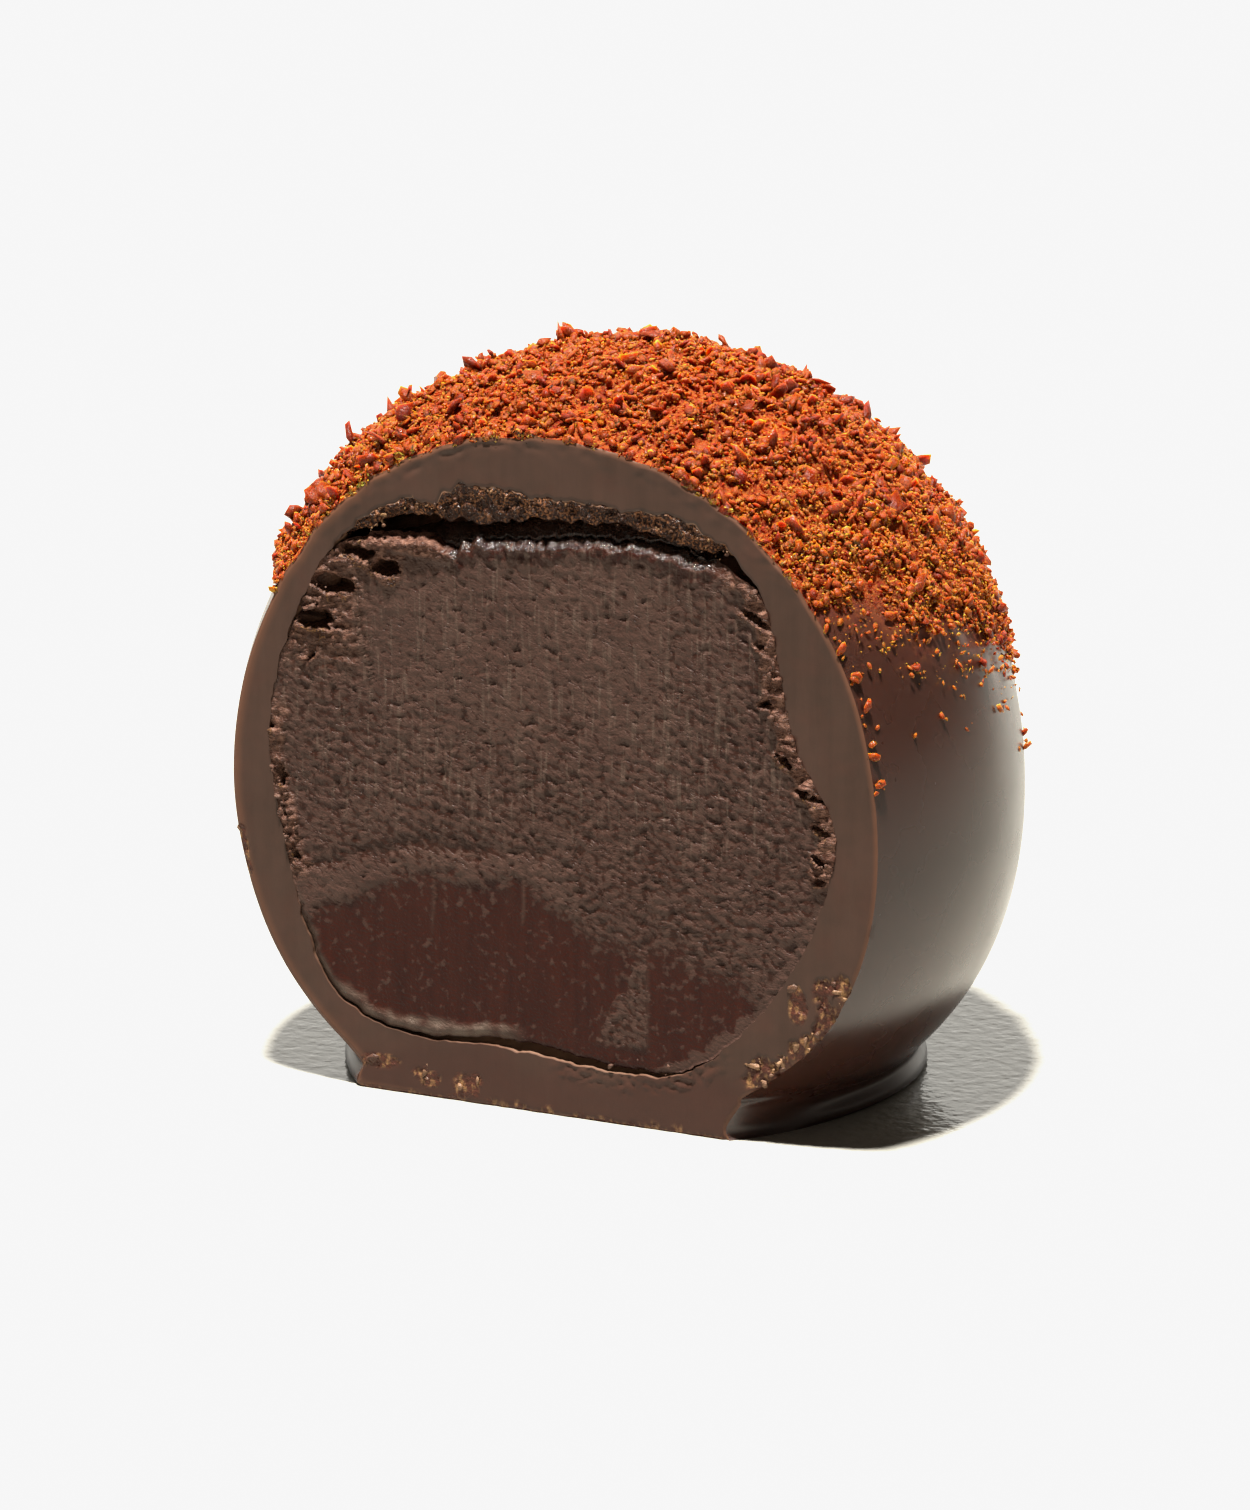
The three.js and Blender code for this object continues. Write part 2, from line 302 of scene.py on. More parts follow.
def direction(azimuth, polar):
    """Ways out from the middle, at angles in radians."""
    across = np.sin(polar)
    return stacked(across * np.cos(azimuth), across * np.sin(azimuth), np.cos(polar) + 0 * azimuth)


def unevenness(way, swells):
    """Height that a list of swells adds along ways out from the middle."""
    height = np.zeros(way.shape[:-1])
    for azimuth, polar, rise, spread in swells:
        middle = direction(np.radians(azimuth), np.radians(polar))
        height += rise * hump(np.degrees(np.arccos(np.clip(way @ middle, -1, 1))), spread)
    return height


def ball_point(azimuth, polar, lift=0.0):
    """Points of the ball's skin, raised by lift, at angles in radians."""
    way = direction(azimuth, polar)
    reach = np.where(way[..., 2] > 0, BALL_RISE, BALL_DROP)
    raised = (unevenness(way, SWELLS) + lift)[..., None]
    around_it = 0 * reach + BALL_RADIUS
    x, y, z = np.moveaxis(way * stacked(around_it, around_it, reach) + way * raised, -1, 0)
    c, s = math.cos(BALL_LEAN), math.sin(BALL_LEAN)
    return stacked(c * x + s * z, y, c * z - s * x) + BALL_MIDDLE


def polar_at_height(azimuth, z):
    """Polar angle at which the ball's skin comes down to height z."""
    above = np.full_like(azimuth, math.pi / 2)
    below = np.full_like(azimuth, math.pi)
    for _ in range(30):
        middle = (above + below) / 2
        higher = ball_point(azimuth, middle)[..., 2] > z
        above = np.where(higher, middle, above)
        below = np.where(higher, below, middle)
    return (above + below) / 2


def topping_cover(points, narrow=1.4, wide=5.0):
    """How thickly the chilli lies, from 0 to 1: full over the crown, thinning out towards its lower edge."""
    edge = TOPPING_EDGE_Z - TOPPING_SLOPE * points[..., 1]
    edge = edge + 0.8 * noise(points, 3.0, 11) + 0.45 * noise(points, 1.1, 12)
    band = narrow + (wide - narrow) * smooth(points[..., 0], 5.0, 13.0)
    return smooth(points[..., 2] - edge + 0.35 * band, 0, band)


def clumps(points):
    """Where the grains stuck together, from about -1 to 1."""
    return noise(points, 1.3, 16) + 0.5 * noise(points, 0.7, 17)


def topping_bed(points):
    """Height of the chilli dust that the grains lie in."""
    lumps = 0.16 + 0.14 * noise(points, 2.6, 21) + 0.32 * clumps(points)
    # It lies thickest on the left shoulder.
    lumps = lumps + 0.34 * np.exp(-np.sum((points - (-6.9, -3.7, 24.0)) ** 2, axis=-1) / 3.6**2)
    lumps = lumps * (0.3 + 0.7 * smooth(np.abs(points[..., 1] - CUT_Y), 0.3, 2.0))
    return topping_cover(points) ** 2 * np.maximum(lumps, -0.05)


def skin_rings(count_around, count_down):
    """Rings of points over the whole skin, from the crown down to the ball's end and over the foot."""
    azimuth = np.linspace(0, 2 * math.pi, count_around, endpoint=False)
    share = np.arange(1, count_down + 1)[:, None] / count_down
    polar = polar_at_height(azimuth, BALL_END_Z)[None] * share
    azimuths = np.broadcast_to(azimuth, polar.shape)
    bare = ball_point(azimuths, polar)
    waves = 0.03 * noise(bare, 6.0, 5) + 0.003 * noise(bare, 2.2, 6)
    ball = ball_point(azimuths, polar, topping_bed(bare) + waves)

    way = direction(azimuth, math.pi / 2)
    swollen = FOOT_RADIUS + unevenness(way, FOOT_SWELLS)
    foot = []
    ball_end = np.hypot(ball[-1, :, 0], ball[-1, :, 1] - FOOT_Y)
    corner = hump(np.degrees(azimuth) - CORNER_AZIMUTH, CORNER_SPREAD)
    for (z, inset, share), (corner_inset, corner_share) in zip(FOOT_PROFILE, CORNER_PROFILE):
        inset = inset + corner * (corner_inset - inset)
        share = share + corner * (corner_share - share)
        radius = swollen - inset + share * (ball_end - swollen)
        foot.append(stacked(radius * way[:, 0], FOOT_Y + radius * way[:, 1], np.full(count_around, z)))
    control = np.stack([ball[-6], ball[-1], *foot, foot[-1]])
    smoothed = np.array([
        curve(*control[k - 1 : k + 3], step / FOOT_STEPS)
        for k in range(1, len(control) - 2)
        for step in range(1, FOOT_STEPS + 1)
    ])
    smoothed[..., 2] = np.maximum(smoothed[..., 2], 0)
    return np.concatenate([ball, smoothed])


def rim_radius(rings, angle):
    """Distance from the middle of the face to the skin, on the knife's plane, at angles in radians."""
    found = []
    for first, second in ((rings[:-1], rings[1:]), (rings, np.roll(rings, -1, axis=1))):
        cross = (first[..., 1] - CUT_Y) * (second[..., 1] - CUT_Y) < 0
        a, b = first[cross], second[cross]
        t = (CUT_Y - a[:, 1]) / (b[:, 1] - a[:, 1])
        found.append(a + t[:, None] * (b - a))
    found = np.concatenate(found)
    base = found[found[:, 2] < 1e-6]
    along = np.linspace(base[:, 0].min(), base[:, 0].max(), 200)
    found = np.concatenate([found, stacked(along, 0 * along, 0 * along)])
    turn = np.mod(np.arctan2(found[:, 2] - FACE_Z, found[:, 0] - FACE_X), 2 * math.pi)
    reach = np.hypot(found[:, 0] - FACE_X, found[:, 2] - FACE_Z)
    order = np.argsort(turn)
    return np.interp(np.mod(angle, 2 * math.pi), turn[order], reach[order], period=2 * math.pi)


# ---- The knife's section through the shell

# Places where the section has broken: middle, half length, half width, turn in degrees, and depth.
CHIPS = (
    (12.30, 6.40, 0.90, 0.50, 25, 0.30), (12.05, 5.10, 1.10, 0.55, 62, 0.40),
    (11.10, 3.95, 0.95, 0.42, 48, 0.22), (11.05, 5.50, 0.70, 0.42, 100, 0.20),
    (9.55, 2.75, 0.95, 0.62, 35, 0.40), (-12.1, 8.7, 1.2, 0.26, 100, 0.20),
    (-2.6, 0.7, 0.75, 0.5, 20, 0.12), (-4.3, 0.75, 0.7, 0.35, 160, 0.08), (-6.5, 1.15, 0.9, 0.3, 0, 0.10),
)


def spots(table, x, z, ragged, fade, widen=0.0, bend=0.0):
    """How far inside one of a table's oval spots a place is, from 0 to 1, and how deep it lies there."""
    share = depth = np.zeros_like(x)
    for middle_x, middle_z, length, width, turn, deep in table:
        c, s = math.cos(math.radians(turn)), math.sin(math.radians(turn))
        right, above = x - middle_x, z - middle_z
        along = (right * c + above * s) / (length + widen)
        across = (above * c - right * s + bend) / (width + widen)
        inside = smooth(1 - np.hypot(along, across) + ragged, 0, fade)
        share, depth = np.maximum(share, inside), np.maximum(depth, deep * inside)
    return share, depth


def breakage(x, z):
    """How broken the section is at a place, from 0 to 1, and how deep."""
    flat = on_plane(x, z)
    share, depth = spots(CHIPS, x, z, 0.45 * rough(flat, 0.7, 41), 0.25)
    fibres = rough(on_plane(x / 0.38, z / 0.6), 1.0, 45)
    # The lower rim crumbled where it stood on the board.
    rim = smooth(0.22 + 0.3 * noise(flat, 0.9, 43) - z, 0, 0.25)
    return np.maximum(share, rim), np.maximum(depth * (0.55 + 0.45 * fibres), 0.08 * rim)


def section_relief(x, z, to_rim, to_edge):
    """How far the shell's section lies behind the knife's plane."""
    flat = on_plane(x, z)
    relief = 0.010 * noise(flat, (0.35, 4.0, 1), 51) + 0.018 * noise(flat, 2.4, 52)
    relief += 0.006 * noise(flat, 0.5, 53)
    share, depth = breakage(x, z)
    relief += 0.6 * depth * (0.6 + 0.45 * rough(flat, 0.4, 54)) + 0.03 * share * noise(flat, 0.22, 55)
    relief += 0.06 * smooth(0.10 - to_rim, 0, 0.10)
    open_edge = smooth(crack_width(np.arctan2(z - FACE_Z, x - FACE_X)), 0.0, 0.15)
    relief += 0.04 * smooth(0.08 - to_edge, 0, 0.08) * open_edge * smooth(z, 6.0, 8.0)
    # Crumbs of the filling stick below the crack at the bottom.
    rubble = smooth(0.75 + 0.4 * noise(flat, 0.8, 56) - to_edge, 0, 0.3) * between(x, 0.5, 2.0, 8.6, 1.5)
    relief -= 0.08 * rubble * smooth(6.0 - z, 0, 1.0) * rough(flat, (0.55, 0.30, 1), 57, 4)
    # The knife's drag left a lumpy fold just under the topping.
    fold = np.abs(to_rim - 0.36 - 0.10 * np.sin(0.9 * x) - 0.10 * noise(flat, 0.8, 58)) / 0.12
    broken_up = smooth(noise(flat, 1.1, 59), -0.5, 0.2)
    relief += 0.05 * np.exp(-(fold**2)) * broken_up * smooth(z, 22.5, 24.5) * smooth(-x, -1.5, 0.5)
    relief += 0.035 * smooth(0.8 - to_rim, 0, 0.5) * smooth(z, 20.0, 22.5) * rough(flat, 0.7, 60, 2)
    return np.maximum(relief, -0.03)


SHELL_TURN, FILLING_TURN = 11.5, 11.0  # the two edges' raggedness is read on circles of these radii


def spread_at(y):
    """How much wider the filling is at a depth behind the cut than on the cut."""
    return np.sqrt(np.maximum(FULL_DEPTH_RADIUS**2 - y**2, 0)) / math.sqrt(FULL_DEPTH_RADIUS**2 - CUT_Y**2)


def roof_gap(angle):
    """Width of the open gap that is left between the filling's back and the shell's roof."""
    off_top = np.abs(whole_degrees(angle) - ROOF_MIDDLE)
    return ROOF_GAP * smooth(55 - off_top, 0, 25)


def shell_edge(angle):
    """The section's inner edge, torn and crumbly."""
    turn = on_plane(np.cos(angle), np.sin(angle)) * SHELL_TURN
    ragged = 0.07 * noise(turn, 0.9, 61) + 0.06 * noise(turn, 0.35, 62)
    tongue = 0.45 * hump(whole_degrees(angle) - TONGUE_AT, 3.0)
    return around(SHELL_EDGE, angle) + ragged * (1 + 1.6 * roof_share(angle)) - tongue


def crack_width(angle):
    """How far the filling's edge stays off the section's; where this is negative it is smeared over it."""
    turn = on_plane(np.cos(angle), np.sin(angle)) * FILLING_TURN
    return around(CRACK, angle) + 0.035 * noise(turn, 0.7, 83)


def face_point(angle, radius, y):
    """Points round the middle of the face, at a depth y."""
    return stacked(FACE_X + radius * np.cos(angle), y + 0 * angle, FACE_Z + radius * np.sin(angle))


IN_FRONT = 10.0  # the knife takes away this much in front of its plane
OUTSIDE = 17.0  # from the middle of the face to well beyond the ball
SECTION_STEPS = 30
GROOVE_STEPS = 14
HOLLOW_STEPS = 9


def roof_share(angle):
    """1 under the roof of the shell, where torn filling hangs from it, and 0 elsewhere."""
    degrees = whole_degrees(angle)
    return between(degrees, 46, 62, 140, 14)


def hollow_rings(angle, rim):
    """Rings of the section, of the crumbled groove behind its inner edge, and of the filling's hollow."""
    edge = shell_edge(angle)
    beyond = OUTSIDE + 0 * angle
    rings = [face_point(angle, beyond, CUT_Y - IN_FRONT), face_point(angle, beyond, CUT_Y)]
    start = rim + 0.35
    for step in range(SECTION_STEPS + 1):
        radius = start + (edge - start) * step / SECTION_STEPS
        flat = face_point(angle, radius, CUT_Y)
        relief = section_relief(flat[:, 0], flat[:, 2], np.maximum(rim - radius, 0), radius - edge)
        rings.append(face_point(angle, radius, CUT_Y + np.where(radius > rim + 0.3, 0, relief)))

    filling = around(FILLING_EDGE, angle)
    gap = roof_gap(angle)
    roof = roof_share(angle)
    hanging = np.maximum(around(RESIDUE, angle), 0) - (around(SHELL_EDGE, angle) - edge)
    below = smooth(angle % (2 * math.pi), math.radians(238), math.radians(250))
    below = below * smooth(math.radians(305) - angle % (2 * math.pi), 0, math.radians(10))
    width = roof * np.maximum(hanging, 0.08) + 0.55 * below
    front = 0.16 - 0.14 * roof
    for k in range(1, GROOVE_STEPS + 1):
        share = k / GROOVE_STEPS
        place = face_point(angle, edge - width * share, CUT_Y + front + (0.9 - 0.72 * roof) * share)
        torn = (rough(place, 0.8, 64) + 0.5 * noise(place, 0.35, 65)) * (0.02 + 0.18 * roof * share)
        sunk = rough(place, 0.45, 67) * (0.02 + 0.16 * roof * math.sin(math.pi * share))
        rings.append(face_point(angle, edge - width * share + torn, place[:, 1] + sunk))
    reached, last = edge - width, CUT_Y + front + 0.9 - 0.72 * roof
    for k in range(1, HOLLOW_STEPS + 1):
        y = last + (LAST_RING_Y - last) * (k / HOLLOW_STEPS) ** 2
        depth = y - CUT_Y
        wall = filling * spread_at(y) + CLEARANCE + gap * np.clip(1 - depth / ROOF_GAP_DEPTH, 0, 1)
        wall = reached + (wall - reached) * smooth(depth, 0.5, 2.2)
        rings.append(face_point(angle, wall, y))
    return rings


# ---- The filling's face

# Lower edge of the rough cut, where the knife pressed the filling smooth below it: x and z.
PRESSED_EDGE = (
    (-12.0, 5.4), (-9.5, 6.6), (-7.4, 7.7), (-4.6, 8.9), (-2.5, 8.9), (-0.5, 9.1), (0.6, 8.3),
    (3.0, 6.95), (4.8, 6.9), (7.0, 6.6), (8.5, 6.3), (9.6, 5.6), (10.4, 4.6),
)
RIDGE_X = 4.85  # a vertical ridge in the pressed part, right of a rough patch
GRAIN_FALL = math.tan(math.radians(13))  # how steeply the torn part's grain falls towards the right
# The rough part ends in a crust above that edge, and a crease runs along the crust's upper side.
CREASE = (
    (-12.0, 7.3), (-9.7, 8.3), (-7.1, 8.9), (-4.1, 10.0), (-2.7, 9.6), (-0.4, 10.0), (2.1, 9.7),
    (4.6, 8.9), (7.0, 7.8), (9.0, 6.2), (10.0, 4.0),
)
# Single scratches: x at the lower end, the heights where they end, depth, and lean.
SCRATCHES = (
    (-2.33, 17.2, 19.6, 0.05, 0.0), (-0.36, 12.0, 14.3, 0.05, 0.0), (5.78, 13.5, 18.8, 0.06, 0.0),
    (6.5, 14.4, 16.2, 0.035, 0.0), (-3.95, 6.2, 9.9, 0.05, 0.0), (-0.2, 7.0, 9.4, 0.05, 0.0),
    (-6.42, 15.6, 18.9, 0.10, -0.24), (0.9, 15.5, 18.2, 0.035, 0.0), (3.4, 15.0, 17.6, 0.03, 0.0),
)
# Tears: middle, half length, half width, slope in degrees, and depth.
TEARS = (
    (-7.30, 20.78, 0.92, 0.21, -1, 1.1), (-5.95, 20.32, 0.60, 0.31, -5, 1.2),
    (-8.25, 19.45, 0.90, 0.34, -10, 1.1), (-8.95, 18.0, 0.98, 0.40, -12, 1.1),
)
# Small holes along the filling's edge, in the same way.
HOLES = (
    (-9.1, 16.6, 0.36, 0.12, 50, 0.5), (-10.88, 13.75, 0.18, 0.12, 90, 0.6),
    (-10.42, 11.85, 0.46, 0.14, 95, 0.7), (-10.33, 10.4, 0.30, 0.09, 95, 0.5),
    (-9.95, 8.95, 0.50, 0.12, 112, 0.6), (9.12, 19.95, 0.78, 0.16, -27, 0.5),
    (9.31, 18.93, 0.28, 0.09, -15, 0.25), (9.52, 16.79, 0.26, 0.12, 20, 0.45),
    (10.25, 14.7, 0.50, 0.15, -40, 0.5), (11.4, 13.48, 0.80, 0.11, -14, 0.5),
    (11.8, 12.3, 0.38, 0.11, -16, 0.4), (11.75, 11.15, 0.44, 0.11, -31, 0.4),
    (11.8, 10.4, 0.26, 0.08, 0, 0.3),
)


def tears(x, z, widen=(0.0, 0.0), lower=(0.0, 0.0)):
    """How far inside a tear or hole a place is, from 0 to 1, and how deep; each can be widened or lowered."""
    flat = on_plane(x, z)
    ragged = 0.38 * noise(flat, 0.55, 71) + 0.22 * noise(flat, 0.24, 73)
    bend = 0.12 * noise(flat, 0.9, 72)
    return np.maximum(*(
        spots(table, x, z + down, ragged, 0.35, more, bend)
        for table, more, down in zip((TEARS, HOLES), widen, lower)
    ))


def filling_edge(angle):
    """Radius of the filling's face: what the crack leaves."""
    turn = on_plane(np.cos(angle), np.sin(angle)) * FILLING_TURN
    ragged = 0.05 * noise(turn, 0.4, 82) * roof_share(angle)
    return shell_edge(angle) - np.maximum(crack_width(angle), -0.04) + ragged


def below_press(x, z):
    """Height of the pressed part's upper edge above a place."""
    flat = on_plane(x, z)
    edge = np.interp(x, *zip(*PRESSED_EDGE))
    return edge + 0.35 * noise(flat, 1.6, 91) + 0.42 * rough(flat, 0.6, 92, 4) - z


def pressed_share(x, z):
    """1 where the filling was pressed smooth, low on the face, and 0 where it was torn rough."""
    flat = on_plane(x, z)
    share = smooth(below_press(x, z), -0.35, 0.75)
    # A rough patch stands in it, left of the ridge.
    slant = x - 4.3 + 0.50 * (6.6 - z) + 0.5 * rough(flat, 0.6, 93, 3)
    patch = smooth(slant, -0.2, 0.4) * smooth(RIDGE_X - x, 0, 0.1) * between(z, 2.8, 3.2, 7.0, 0.6)
    return share * (1 - 0.95 * patch)


def dragged(x, z):
    """The face's plane sheared along its grain."""
    return on_plane(x, z + GRAIN_FALL * x)


def face_relief(x, z, to_edge, angle):
    """How far the filling's face lies behind the knife's plane, and numbers for its material's patterns."""
    flat = on_plane(x, z)

    def waves(size, seed):
        return noise(flat, size, seed)

    def crumble(size, seed, layers=3):
        return rough(flat, size, seed, layers)

    degrees = whole_degrees(angle)
    pressed = pressed_share(x, z)
    torn = 1 - pressed
    grain = dragged(x, z) + 0.12 * on_plane(waves(0.7, 101), waves(0.7, 102))
    lumps = rough(grain, (0.44, 0.27, 1.0), 103, 3)
    pits = smooth(-noise(grain, (0.42, 0.26, 1), 106) - 0.4 * waves((0.5, 5.0, 1), 107), 0.42, 0.8)
    calm = smooth(z, 12.0, 17.0) * smooth(8.0 - np.abs(x + 0.5), 0, 3.0)
    calmer = 0.010 * smooth(0.5 - x, 0, 4.0) * smooth(13.0 - z, 0, 3.0)
    relief = 0.05 + torn * ((0.042 - 0.012 * calm - calmer) * -lumps + 0.06 * pits)
    relief += torn * 0.04 * waves(2.6, 109)
    relief += pressed * (0.03 - 0.006 * lumps + 0.02 * waves(1.9, 111))
    upper = smooth(z, 9.0, 12.0)
    streaks = smooth(waves((0.26, 4.0, 1), 113), 0.35, 0.65) * upper
    relief -= 0.015 * torn * streaks
    painted_burr_highlight = np.zeros_like(x)
    for at_x, low, high, deep, lean in SCRATCHES:
        bend = at_x + lean * (z - low) + 0.05 * np.sin(1.7 * z)
        length = smooth(z, low, low + 0.5) * smooth(high - z, 0, 0.5)
        length = length * (0.45 + 0.55 * smooth(waves(0.7, 96), -0.5, 0.1))
        relief += 0.8 * deep * hump(x - bend, 0.07) * length
        # The raised burr beside each scratch is also painted paler, as a painted highlight.
        raised = hump(x - bend + 0.11, 0.06) * length
        relief -= 0.6 * deep * raised
        painted_burr_highlight = np.maximum(painted_burr_highlight, 0.8 * raised)
    # The crust over the left of the pressed part stands proud, with the crease above it.
    under = below_press(x, z)
    below_crease = np.interp(x, *zip(*CREASE)) + 0.25 * waves(1.3, 94) - z
    left = smooth(2.5 - x, 0, 3.0)
    crust = left * smooth(0.6 - under, 0, 1.0) * smooth(below_crease, -0.2, 0.7)
    crease = left * np.exp(-((below_crease + 0.15) ** 2) / 0.10) * smooth(0.5 + 0.9 * waves(1.5, 95), 0, 0.9)
    relief += torn * 0.06 * crease - 0.03 * crust
    # The vertical ridge beside the rough patch.
    ridge = hump(x - RIDGE_X, 0.08) * between(z, 2.8, 3.4, 7.0, 0.8)
    relief -= 0.03 * ridge
    share, depth = tears(x, z)
    lips = tears(x, z, widen=(0.40, 0.16))[0] * (1 - share)
    ledge = tears(x, z, lower=(0.40, 0.22))[0] * (1 - share)
    flakes = crumble((0.8, 0.24, 1), 115)
    relief += depth + lips * (0.12 * flakes - 0.03) - 0.06 * ledge
    top = roof_share(angle)
    # The flap above the first tear stands proud of the face, and its corner is crumpled.
    flap = between(x, -8.8, -8.0, -3.0, 1.2) * smooth(z + 0.12 * (x + 6), 20.95, 21.15)
    relief -= flap * (0.12 + 0.16 * crumble((0.5, 0.30, 1), 117))
    relief += flap * top * 0.6 * np.maximum(0.4 - to_edge, 0)
    # Crumbs stand proud along the edges where the filling broke away from the shell.
    right = np.maximum(smooth(54 - degrees, 0, 6), smooth(degrees, 347, 353))
    crumpled = smooth(-6.3 - x, 0, 1.6) * smooth(z, 15.5, 17.5)
    relief += crumpled * 0.12 * crumble((0.6, 0.32, 1), 118)
    band = smooth(0.80 + 0.35 * waves(0.9, 99) - to_edge, 0, 0.15)
    crumbly = band * np.maximum(right, 0.8 * between(degrees, 165, 172, 205, 5))
    relief -= crumbly * (0.07 + 0.13 * crumble((0.80, 0.36, 1), 123))
    # The edge rounds off narrowly; under the roof gap it slopes back, wet, from a proud line.
    reach = 0.02 + 0.06 * smooth(crack_width(angle), 0, 0.15)
    drop = np.clip(1 - to_edge / reach, 0, 1)
    relief += reach * 0.6 * (1 - np.sqrt(1 - drop**2 * 0.98))
    wide_top = 0.34 + 0.12 * smooth(x, 3, 6) + 0.07 * waves(0.8, 98)
    relief += top * 1.15 * np.maximum(wide_top - to_edge, 0)
    relief -= 0.07 * top * hump(to_edge - wide_top, 0.30) * (1 + 0.5 * waves(1.2, 120))
    relief += 0.07 * top * smooth(1.1 - to_edge, 0, 0.5) * crumble(0.32, 119, 2)
    # A smooth rounded lip runs along the lower left edge, and a thin smear along the lower right one.
    low_left = between(degrees, 200, 215, 266, 8)
    wide = 0.24 + 0.44 * smooth(degrees, 212, 232) + 0.20 * crumble(0.9, 97, 2)
    # The lip is painted paler: partly a painted highlight where it catches grazing light, partly a smeared
    # film.
    bevel = low_left * smooth(wide + 0.1 - to_edge, 0, 0.32)
    relief += low_left * (0.08 * smooth(0.25 - to_edge, 0, 0.25) - 0.07 * hump(to_edge - 0.35, 0.22))
    low_right = between(degrees, 290, 300, 350, 15)
    smear = low_right * smooth(0.55 + 0.25 * waves(0.8, 98) + 0.15 * waves(0.3, 100) - to_edge, 0, 0.3)
    # The grey film lies where the filling was dragged, less where it tore, least where it was pressed.
    film = 0.50 + 0.26 * calm + 0.12 * waves(2.2, 121)
    flecks = 0.13 + 0.30 * waves(1.2, 122) + 0.08 * smooth(x, 1.0, 7.0) + 0.35 * smooth(1.1 - under, 0, 1.1)
    film = film * torn + pressed * flecks
    # Painted shade and sheen: the film thins in the pits and the crease so they come out darker, and thickens
    # on the proud lumps as a painted greyish sheen.
    film += 0.35 * crust - 0.30 * crease * torn - 0.45 * pits * torn + 0.16 * lumps * torn
    reddish = top * smooth(0.95 + 0.35 * smooth(x, 4.5, 6.5) + 0.3 * waves(0.8, 124) - to_edge, 0, 0.4)
    film -= 0.25 * reddish
    film += 0.15 * ridge + 0.8 * smear
    return relief, {
        "film": np.clip(film, 0, 1),
        "pressed": np.maximum(pressed * (1 - 0.7 * smear), 0.75 * reddish),
        "streaky": torn * upper,
        "raised": np.clip(0.9 * painted_burr_highlight + 0.25 * streaks * torn + 0.35 * ridge, 0, 1),
        "torn_lip": np.clip(np.maximum.reduce([lips, flap, 0.6 * crumpled, crumbly]), 0, 1),
        "ledge": ledge,
        "wet": top * smooth(x, -3.6, -3.0) * smooth(wide_top + 0.05 - to_edge, 0, 0.1),
        "bevel": bevel * (0.7 + 0.5 * crumble(0.6, 125, 2)),
        "grain": grain,
    }


FACE_HALF = 108  # squares from the middle of the filling's face to its edge
FILLING_DEPTHS = 22  # rings from the torn edge to the hidden back
MOST_PROUD = 0.35  # crumbs on the face stand at most this far in front of the knife's plane


def face_grid(half):
    """A square grid squeezed into a disc: share of the radius and angle for each point, with its squares."""
    i, j = np.meshgrid(np.arange(-half, half + 1), np.arange(-half, half + 1), indexing="ij")
    radius = np.maximum(np.abs(i), np.abs(j))
    flat = np.maximum(radius, 1)
    sideways = np.abs(i) >= np.abs(j)
    quarter = np.where(sideways, np.where(i >= 0, 0, 4), np.where(j >= 0, 2, 6))
    lean = np.where(sideways, j * np.where(i >= 0, 1, -1), -i * np.where(j >= 0, 1, -1))
    angle = math.pi / 4 * (quarter + lean / flat)
    size = 2 * half + 1
    corner = (np.arange(size - 1)[:, None] * size + np.arange(size - 1)).reshape(-1)
    squares = np.stack([corner, corner + size, corner + size + 1, corner + 1], axis=-1)
    # Points of the outermost ring, in order round the disc.
    index = np.arange(size * size).reshape(size, size)
    edge = np.concatenate([
        index[-1, half:-1], index[:0:-1, -1], index[0, :0:-1], index[:-1, 0], index[-1, :half]])
    return (radius / half).reshape(-1), angle.reshape(-1), squares, edge


# ---- Materials

DUST_STAIN, DUST_STAIN_LIGHT = "#6a1e0c", "#8c4016"  # what chilli dust leaves on chocolate


def add_node(tree, kind, inputs=None, out=0, **settings):
    """Adds a node, gives its inputs values or links from sockets, and returns one of its outputs."""
    node = tree.nodes.new(kind)
    for name, value in settings.items():
        setattr(node, name, value)
    for name, value in (inputs or {}).items():
        if isinstance(value, bpy.types.NodeSocket):
            tree.links.new(value, node.inputs[name])
        else:
            node.inputs[name].default_value = value
    return node.outputs[out] if node.outputs else None


